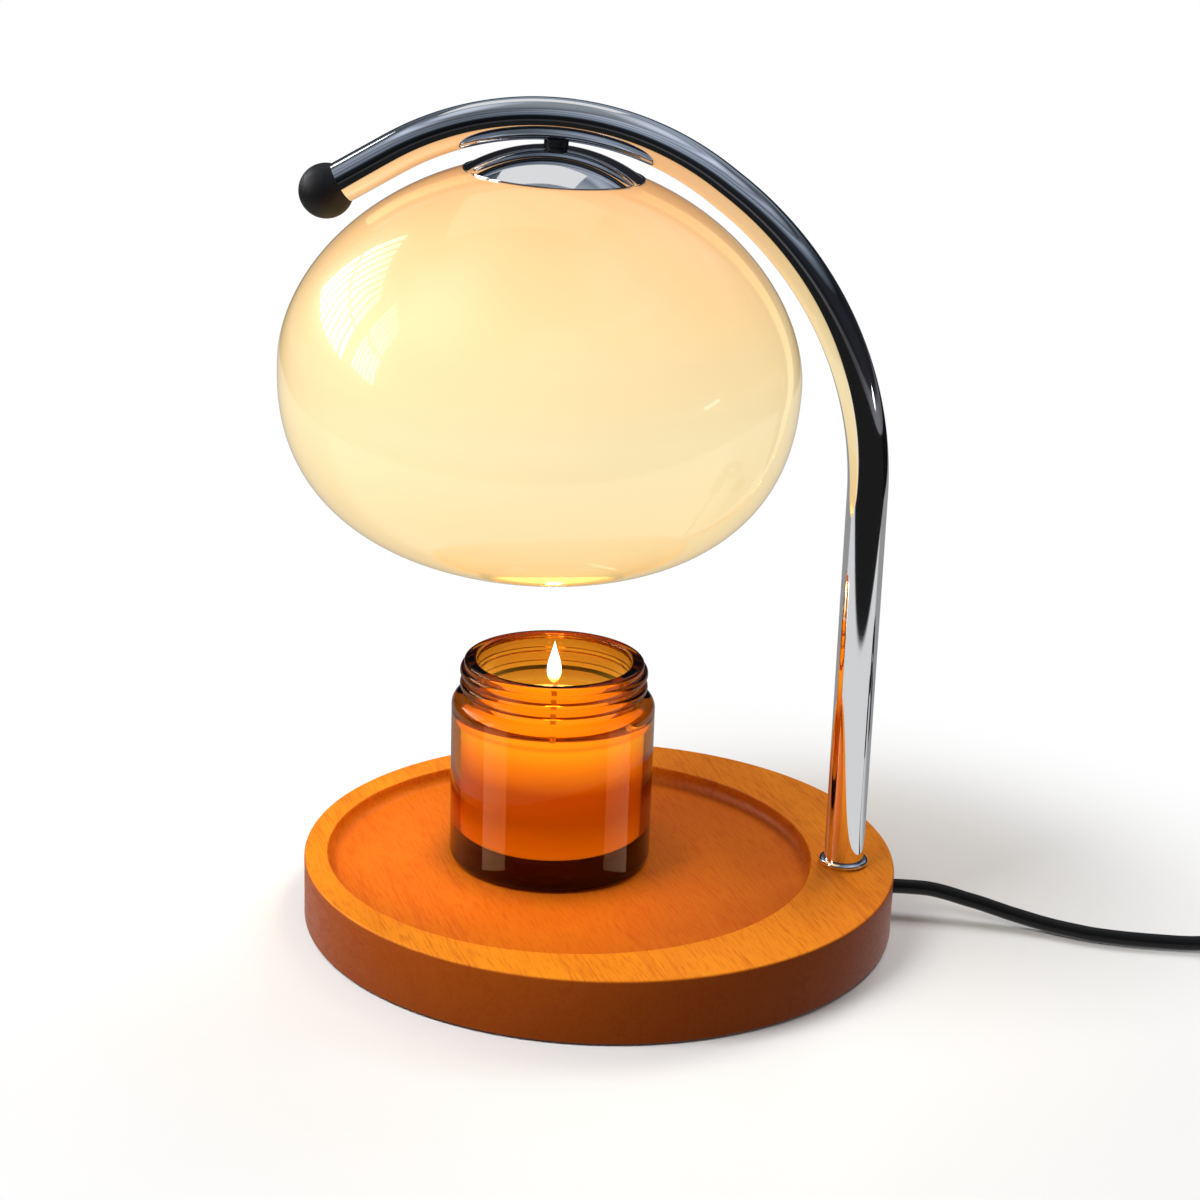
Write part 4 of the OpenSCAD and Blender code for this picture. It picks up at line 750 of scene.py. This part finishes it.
class LAMP_OT_candle(bpy.types.Operator):
    """Amber glass jar with its wax, wick and flame"""
    bl_idname = "lamp.candle"
    bl_label = "Candle"

    def execute(self, context):
        s = context.scene.lamp_candle
        r, h = jar_r, jar_high[2] - jar_low[2]
        in_r, neck_r, neck_z = r - s.wall, r - s.shoulder, s.side + s.shoulder
        mouth, lip, hollow, ring = s.mouth / 2, 1.0 * mm, 0.4 * mm, 3 * mm
        neck_h = h - neck_z
        bead_shares, bead_r = (0.28, 0.66), neck_h * 0.15
        beads = [arc((0, 0), 1, -90, 90, 11) * (s.bead, bead_r) + (neck_r, neck_z + neck_h * share)
                 for share in bead_shares]
        heel = s.floor / 2
        jar = np.concatenate([
            [(0, hollow), (r - s.heel - ring, hollow), (r - s.heel - ring + mm, 0)],
            arc((r - s.heel, s.heel), s.heel, -90, 0, 12), arc((neck_r, s.side), s.shoulder, 0, 90, 12),
            *beads, arc((neck_r - lip, h - lip), lip, 0, 90, 8), arc((mouth + lip, h - lip), lip, 90, 180, 8),
            [(mouth, neck_z)], arc((mouth, s.side - (in_r - mouth)), in_r - mouth, 60, 0, 10),
            arc((in_r - heel, s.floor + heel), heel, 0, -90, 12), [(0, s.floor)]])
        place = (*jar_centre[:2], jar_low[2])
        add_piece("amber_jar", turned(jar, 160) + place, "candle", "amber_glass", ["candle_jar"], corner=55)
        wax_play, wax_lift, wax_sag = 0.08 * mm, 0.05 * mm, 0.5 * mm
        wax_r, wax_top = in_r - wax_play, wax_high[2] - jar_low[2]
        pool = np.linspace(0.98, 0.12, 16)
        wax = np.concatenate([
            [(0, s.floor + wax_lift)], arc((wax_r - heel, s.floor + heel), heel, -90, 0, 10),
            [(wax_r, wax_top)], np.stack([wax_r * pool, wax_top - wax_sag * (1 - pool ** 6)], axis=1),
            [(0, wax_top - wax_sag)]])
        add_piece("poured_wax", turned(wax, 128) + place, "candle", "wax", ["candle_wax"], corner=60)
        wick_in, wick_curl, flame_drop = 2 * mm, 0.8 * mm, 0.8 * mm
        foot = wax_top - wick_in
        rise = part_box("candle_wick")[1][2] - jar_low[2] - foot
        t = np.linspace(0, 1, 14)
        curl = np.stack([wick_curl * t ** 3, 0 * t, foot + rise * t], axis=1)
        wick_r = s.wick / 2 * (1 - 0.25 * t ** 4)
        add_piece("charred_wick", tube(curl + place, wick_r, 20, (1, 0, 0)), "candle", "wick",
                  ["candle_wick"])
        t = np.linspace(0, 1, 30)
        tongue = np.stack([s.flame_width / 2 * np.sin(math.pi * t ** 0.62) ** 1.1 * (1 - 0.25 * t),
                           foot + rise - flame_drop + s.flame_height * t], axis=1)
        tongue[0, 0] = tongue[-1, 0] = 0
        add_piece("flame", turned(tongue, 40) + place, "candle", "wax", finish="flame")
        return {"FINISHED"}


# The cord's route in metres: from the base to the dimmer, from the dimmer to the coil, from it to the plug
route_out = np.array([
    [88.8807, 11, 8], [95, 10.9, 8.1], [102, 10.3, 8.1], [107.5, 9.4, 7.4], [113, 8.2, 6.4], [118, 7, 5.6],
    [122.5, 5.6, 4.8], [127, 4.2, 4], [132, 2.6, 3.3], [136.5, 1, 2.8], [141, -0.6, 2.5], [146, -2.4, 2.4],
    [151, -4, 2.3], [158, -5.4, 2.3], [165, -6.2, 2.3], [174, -6.7, 2.3], [180, -6.9, 2.4], [184.5, -7, 2.8],
    [188.5, -7, 3.6], [192.5, -7, 4.6], [196.5, -7, 5.7], [200.5, -7, 6.6], [205, -7, 7], [210, -7, 7]]) * mm
route_lead = np.array([
    [284, -7, 7], [287, -7, 7], [291, -7, 6.65], [295, -7, 5.75], [299, -7, 4.6], [303, -7, 3.7],
    [307, -7, 3.35], [310, -7, 3.35]]) * mm
route_tail = np.array([
    [310, 66.1, 8.4], [306, 66.1, 8.4], [301, 66.1, 8.3], [296, 66.1, 8], [290, 66.1, 7.5], [285, 66.1, 7.1],
    [280, 66.1, 7], [276, 66.1, 7]]) * mm


def coil_points(s):
    """Coil: the radius falls, then grows by a pitch a turn, and z climbs a pitch in the middle half turn."""
    t = np.linspace(0, s.turns, int(s.turns * s.rings) + 1)
    half, pitch, soft = s.turns / 2, s.diameter + s.gap, 0.08
    radius = s.inner + pitch * (np.hypot(t - half, soft) - soft)
    a = 2 * math.pi * t - math.pi / 2
    up = np.clip((t - half) / 0.5 + 0.5, 0, 1)
    z = s.table_gap + s.diameter / 2 + pitch * up * up * (3 - 2 * up)
    centre = route_lead[-1, :2] + (s.diameter, radius[0])
    return np.stack([centre[0] + radius * np.cos(a), centre[1] + radius * np.sin(a), z], axis=1)


class LAMP_OT_cord(bpy.types.Operator):
    """Mains cord in one length, its grommet, dimmer, coil, tie and plug"""
    bl_idname = "lamp.cord"
    bl_label = "Cord"

    def execute(self, context):
        s = context.scene.lamp_cord
        through = np.linspace(route_out[-1], route_lead[0], 12)[1:-1]
        path = np.concatenate([smooth_path(np.concatenate([route_out, through, route_lead]), 5),
                               coil_points(s), smooth_path(route_tail, 5)])
        jacket = add_piece("mains_cord", tube(path, s.diameter / 2, 16, (0, 0, 1)), "lamp", "cord_rubber",
                           ["supply_cord", "coil_lead", "cord_coil", "cord_tail"], corner=60)
        lip_r, squeeze, sunk = 0.55 * mm, 0.1 * mm, 0.8 * mm
        ring = s.diameter / 2 + lip_r - squeeze
        lip = turned(arc((ring, 0), lip_r, 0, 360, 17)[:-1].tolist() + [[ring + lip_r, 0]], 48)
        lip = lip[..., [2, 0, 1]] + (base_high[0] - sunk, *route_out[0, 1:])
        add_piece("grommet_lip", lip, "lamp", "foot_rubber")
        pieces = [softened(*args) for args in (
            ("dimmer_case_bottom", "dimmer_base_shell", "lamp", "black_plastic", 0.7 * mm),
            ("dimmer_case_top", "dimmer_top_shell", "lamp", "black_plastic", 0.7 * mm),
            ("dimmer_wheel", "thumb_wheel_ring", "thumb_wheel", "wheel_plastic", 0.25 * mm),
            ("dimmer_sleeves", "dimmer_sleeve_pair", "lamp", "black_plastic", 0.4 * mm),
            ("cord_tie", "tie_band", "lamp", "tie_plastic", 0.2 * mm),
            ("plug_body", "plug_moulding", "lamp", "plug_plastic", 1.5 * mm))]
        return {"FINISHED"}


def mirrors_only(thing, *others):
    """Hides a thing from every ray but a mirror's, and from the others that are named."""
    for rays in ("camera", "diffuse", "transmission", "volume_scatter", *others):
        setattr(thing, "visible_" + rays, False)


def area_light(name, place, aim, size, power, tint=(1.0, 1.0, 1.0), spread=180.0):
    """A soft square light that mirrors don't show, at a place and turned to its aim."""
    data = bpy.data.lights.new(name, "AREA")
    data.size, data.energy, data.color, data.spread = size, power, tint, math.radians(spread)
    light = add_object(name, data)
    facing = (Vector(aim) - Vector(place)).to_track_quat("-Z", "Y").to_matrix().to_4x4()
    light.matrix_world = Matrix.Translation(place) @ facing
    light.visible_glossy = False
    return light


def strip_light(name, angle, power):
    """Upright strip light by the jar that only mirrors show, with its image at this angle from the front."""
    wide, tall, far, tint = 11.5 * mm, 60 * mm, 8 * mm, (1.0, 0.86, 0.72)
    a = math.radians(angle)
    spot = jar_centre[:2] + jar_r * heading(a - math.pi / 2)
    way = heading(2 * a - math.pi / 2)
    height = jar_low[2] + mm + tall / 2
    light = area_light(name, (*(spot + far * way), height), (*spot, height), wide, power, tint)
    light.data.shape, light.data.size_y = "RECTANGLE", tall
    light.visible_glossy = True
    mirrors_only(light)


def stage_mesh(name, corners, material):
    """A flat stage piece; the corners go round it, and its first side has u = 0."""
    mesh = bpy.data.meshes.new(name)
    mesh.from_pydata(list(corners), [], [(0, 1, 2, 3)])
    mesh.uv_layers.new(name="UVMap").data.foreach_set("uv", [0, 1, 0, 0, 1, 0, 1, 1])
    mesh.materials.append(material)
    made = add_object(name, mesh)
    return made


def floor_paper():
    """White paper that keeps the shadows near the lamp and is plain white to the camera farther off.

    Chrome sees it white up to a curved edge some way from the arm's foot, dark beyond, dimmer at the back.
    """
    f = Finish("floor_paper", (0.93, 0.93, 0.94), 0.9)
    shadow_centre, shadow_reach, clear_reach = (0.03, -0.04, 0.0), 0.12, 0.25
    seen_white, lighting_white = 0.80, 0.14
    edge_near, edge_far, edge_bend, edge_turn = 0.266, 0.284, 0.09, 0.26
    mirror_white, mirror_dark, mirror_back, back_reach = 0.72, 0.012, 0.45, 0.05
    rays = f.node("LightPath").outputs
    f.to(f.span(rays["Is Diffuse Ray"], 0.0, 1.0, seen_white, lighting_white), "Base Color")
    offset = f.vector_math("DISTANCE", f.where, shadow_centre)["Value"]
    fade = f.span(offset, shadow_reach, clear_reach, 0.0, 1.0, "SMOOTHSTEP")
    foot = f.vector_math("SUBTRACT", f.where, (arm_foot_x, 0.0, 0.0))["Vector"]
    x, y = f.axis("X", foot), f.axis("Y", foot)
    turn = f.math("SUBTRACT", f.math("ARCTAN2", x, f.math("MULTIPLY", y, -1.0)), edge_turn)
    bend = f.math("MULTIPLY", f.math("MULTIPLY", turn, turn), edge_bend)
    reach = f.math("SUBTRACT", f.vector_math("LENGTH", foot)["Value"], bend)
    mirror = f.math("MULTIPLY", f.span(reach, edge_near, edge_far, mirror_white, mirror_dark),
                    f.span(y, 0.0, back_reach, 1.0, mirror_back))
    glossy = f.math("MULTIPLY", rays["Is Glossy Ray"], f.math("SUBTRACT", 1.0, rays["Is Transmission Ray"]))
    clear = f.math("MULTIPLY", fade, f.math("SUBTRACT", 1.0, rays["Is Diffuse Ray"]))
    white = f.node("Emission", {"Strength": f.span(glossy, 0.0, 1.0, 1.0, mirror)}).outputs["Emission"]
    f.feed(f.output.inputs["Surface"],
           f.mix_shaders(f.math("MAXIMUM", clear, glossy), f.shader.outputs["BSDF"], white))
    return f.material


def glow_panel(name, strength, rows, columns):
    """Light of a stage panel; with rows it is crossed by bars and dimmer towards u = 1."""
    f = Finish(name, (0.0, 0.0, 0.0), 1.0)
    tint, bar = (1.0, 1.0, 1.0), 0.16
    if rows:
        uv = f.node("TexCoord").outputs["UV"]
        panes = f.node("TexBrick", {"Vector": uv, "Color1": tint, "Color2": (0.9, 0.9, 0.9),
                                    "Mortar": (0.0, 0.0, 0.0), "Scale": 1.0, "Mortar Size": bar / rows,
                                    "Brick Width": 1.0 / columns, "Row Height": 1.0 / rows}, offset=0.0)
        dim = f.ramp(f.axis("X", uv), ((0.3, 1.0), (1.0, 0.4)))
        tint = f.blend(1.0, panes.outputs["Color"], dim, "MULTIPLY")
    glow = f.node("Emission", {"Color": tint, "Strength": strength})
    f.feed(f.output.inputs["Surface"], glow.outputs["Emission"])
    return f.material


# What mirrors see of the room, from straight down to straight up
room_stops = ((0.0, (0.10, 0.10, 0.11)), (0.05, (0.012, 0.012, 0.014)), (0.36, (0.010, 0.011, 0.014)),
              (0.46, (0.09, 0.11, 0.14)), (0.53, (0.22, 0.26, 0.33)), (0.56, (0.07, 0.08, 0.10)),
              (0.66, (0.30, 0.35, 0.43)), (0.70, (0.14, 0.16, 0.20)), (0.80, (0.46, 0.52, 0.62)),
              (0.84, (0.24, 0.28, 0.34)), (0.93, (0.60, 0.66, 0.76)), (1.0, (0.80, 0.86, 0.94)))


def light_world():
    """World: soft light for surfaces, white for the camera, a dark room with a pale ceiling in mirrors."""
    world = bpy.data.worlds.new("soft_world")
    bpy.context.scene.world = world
    world.use_nodes = True
    w = Nodes(world.node_tree, "Generated")
    rays = w.node("LightPath").outputs
    soft = w.tree.nodes["Background"]
    for socket, value in (("Color", (1.0, 0.97, 0.94)), ("Strength", 0.22)):
        w.feed(soft.inputs[socket], value)
    streaks = w.span(w.noise(1.4, 0.0), quiet, loud, 0.35, 1.7)
    room = w.node("Background", {"Color": w.ramp(w.axis("Z"), room_stops), "Strength": streaks})
    white = w.node("Background", {"Color": (1.0, 1.0, 1.0)})
    either = w.math("MAXIMUM", rays["Is Camera Ray"], rays["Is Transmission Ray"])
    soft, room, white = (shader.outputs["Background"] for shader in (soft, room, white))
    w.feed(w.tree.nodes["World Output"].inputs["Surface"],
           w.mix_shaders(either, w.mix_shaders(rays["Is Glossy Ray"], soft, room), white))


# Panels that only mirrors show: corners in metres, strength, rows and columns of panes, 0 for none
panels = {
    "window_upper": (((-0.936, 0.759, 0.482), (-1.255, -0.031, 0.378), (-1.0, 0.052, 0.939),
                      (-0.698, 0.579, 1.019)), 8.5, 9, 2),
    "window_lower": (((-1.249, -0.147, 0.376), (-1.189, -0.466, 0.257), (-0.979, -0.371, 0.892),
                      (-0.926, -0.087, 1.025)), 8.0, 6, 2),
    "small_lamp": (((1.008, -0.248, 0.149), (1.005, -0.265, 0.185), (1.027, -0.1, 0.241),
                    (1.029, -0.094, 0.211)), 4.0, 0, 0),
    "ceiling_window": (((-0.75, 0.42, 1.5), (0.25, 0.34, 1.5), (0.35, 0.9, 1.5),
                        (-0.6, 1.25, 1.5)), 0.8, 0, 0),
}

# The photograph's camera: its place in metres, its turns in radians and its lens in millimetres
camera_place, camera_lens, camera_sensor, camera_clip = (0.03606, -0.73326, 0.34094), 78.0, 36.0, 0.01
camera_pitch, camera_roll, camera_yaw = 0.31676, 0.03288, math.radians(3.0)


class LAMP_OT_stage(bpy.types.Operator):
    """Floor, lights, reflected panels and the camera"""
    bl_idname = "lamp.stage"
    bl_label = "Stage"

    def execute(self, context):
        s = context.scene.lamp_stage
        half = s.floor_size / 2
        stage_mesh("floor", ((-half, -half, 0), (half, -half, 0), (half, half, 0), (-half, half, 0)),
                   floor_paper())
        light_world()
        middle, soft_width = (0.0, 0.0, 0.1), 0.4
        area_light("key_light", (-0.42, -0.26, 0.72), middle, soft_width, s.key)
        area_light("fill_light", (0.32, 0.48, 0.62), middle, soft_width, s.fill)
        lens_drop, lens_width, warm, cone = 94 * mm, 45 * mm, (1.0, 0.62, 0.28), 50.0
        lens = head - head_up * lens_drop
        area_light("bulb_beam", lens, lens - head_up, lens_width, s.bulb, warm, cone)
        strip_light("strip_left", -29.5, 0.0045)
        strip_light("strip_right", 43.0, 0.0028)
        flame_r, flame_rise = 3 * mm, 20 * mm
        spark = bpy.data.lights.new("candle_light", "POINT")
        spark.energy, spark.color, spark.shadow_soft_size = s.flame, (1.0, 0.5, 0.14), flame_r
        add_object("candle_light", spark).location = (*jar_centre[:2], wax_high[2] + flame_rise)
        for name, (corners, *light) in panels.items():
            mirrors_only(stage_mesh(name, corners, glow_panel(name, *light)), "shadow")
        camera = bpy.data.cameras.new("camera")
        camera.lens, camera.sensor_width, camera.clip_start = camera_lens, camera_sensor, camera_clip
        eye = add_object("camera", camera)
        eye.matrix_world = Matrix.Translation(camera_place) @ (
            Matrix.Rotation(camera_yaw, 4, "Z") @ Matrix.Rotation(math.pi / 2 - camera_pitch, 4, "X")
            @ Matrix.Rotation(camera_roll, 4, "Z"))
        context.scene.camera = eye
        context.scene.view_settings.view_transform = "Standard"
        return {"FINISHED"}


operators = (LAMP_OT_stage, LAMP_OT_cord, LAMP_OT_base, LAMP_OT_arm, LAMP_OT_shade, LAMP_OT_bulb,
             LAMP_OT_candle)


class LAMP_PT_panel(bpy.types.Panel):
    """Lists the lamp's pieces and their settings"""
    bl_idname = "LAMP_PT_panel"
    bl_label = "Candle Warmer Lamp"
    bl_space_type = "VIEW_3D"
    bl_region_type = "UI"
    bl_category = "Lamp"

    def draw(self, context):
        for operator in operators:
            self.layout.operator(operator.bl_idname)
        for name, group in settings_classes.items():
            box = self.layout.box()
            for key in group.__annotations__:
                box.prop(getattr(context.scene, name), key)


def register():
    for group in (*settings_classes.values(), *operators, LAMP_PT_panel):
        bpy.utils.register_class(group)
    for name, group in settings_classes.items():
        setattr(bpy.types.Scene, name, PointerProperty(type=group))


def unregister():
    for name in settings_classes:
        delattr(bpy.types.Scene, name)
    for group in (LAMP_PT_panel, *operators, *settings_classes.values()):
        bpy.utils.unregister_class(group)


def main():
    register()
    make_finishes()
    for build in (bpy.ops.lamp.stage, bpy.ops.lamp.cord, bpy.ops.lamp.base, bpy.ops.lamp.arm,
                  bpy.ops.lamp.shade, bpy.ops.lamp.bulb, bpy.ops.lamp.candle):
        build()
    bpy.context.view_layer.update()


if __name__ == "__main__":
    main()
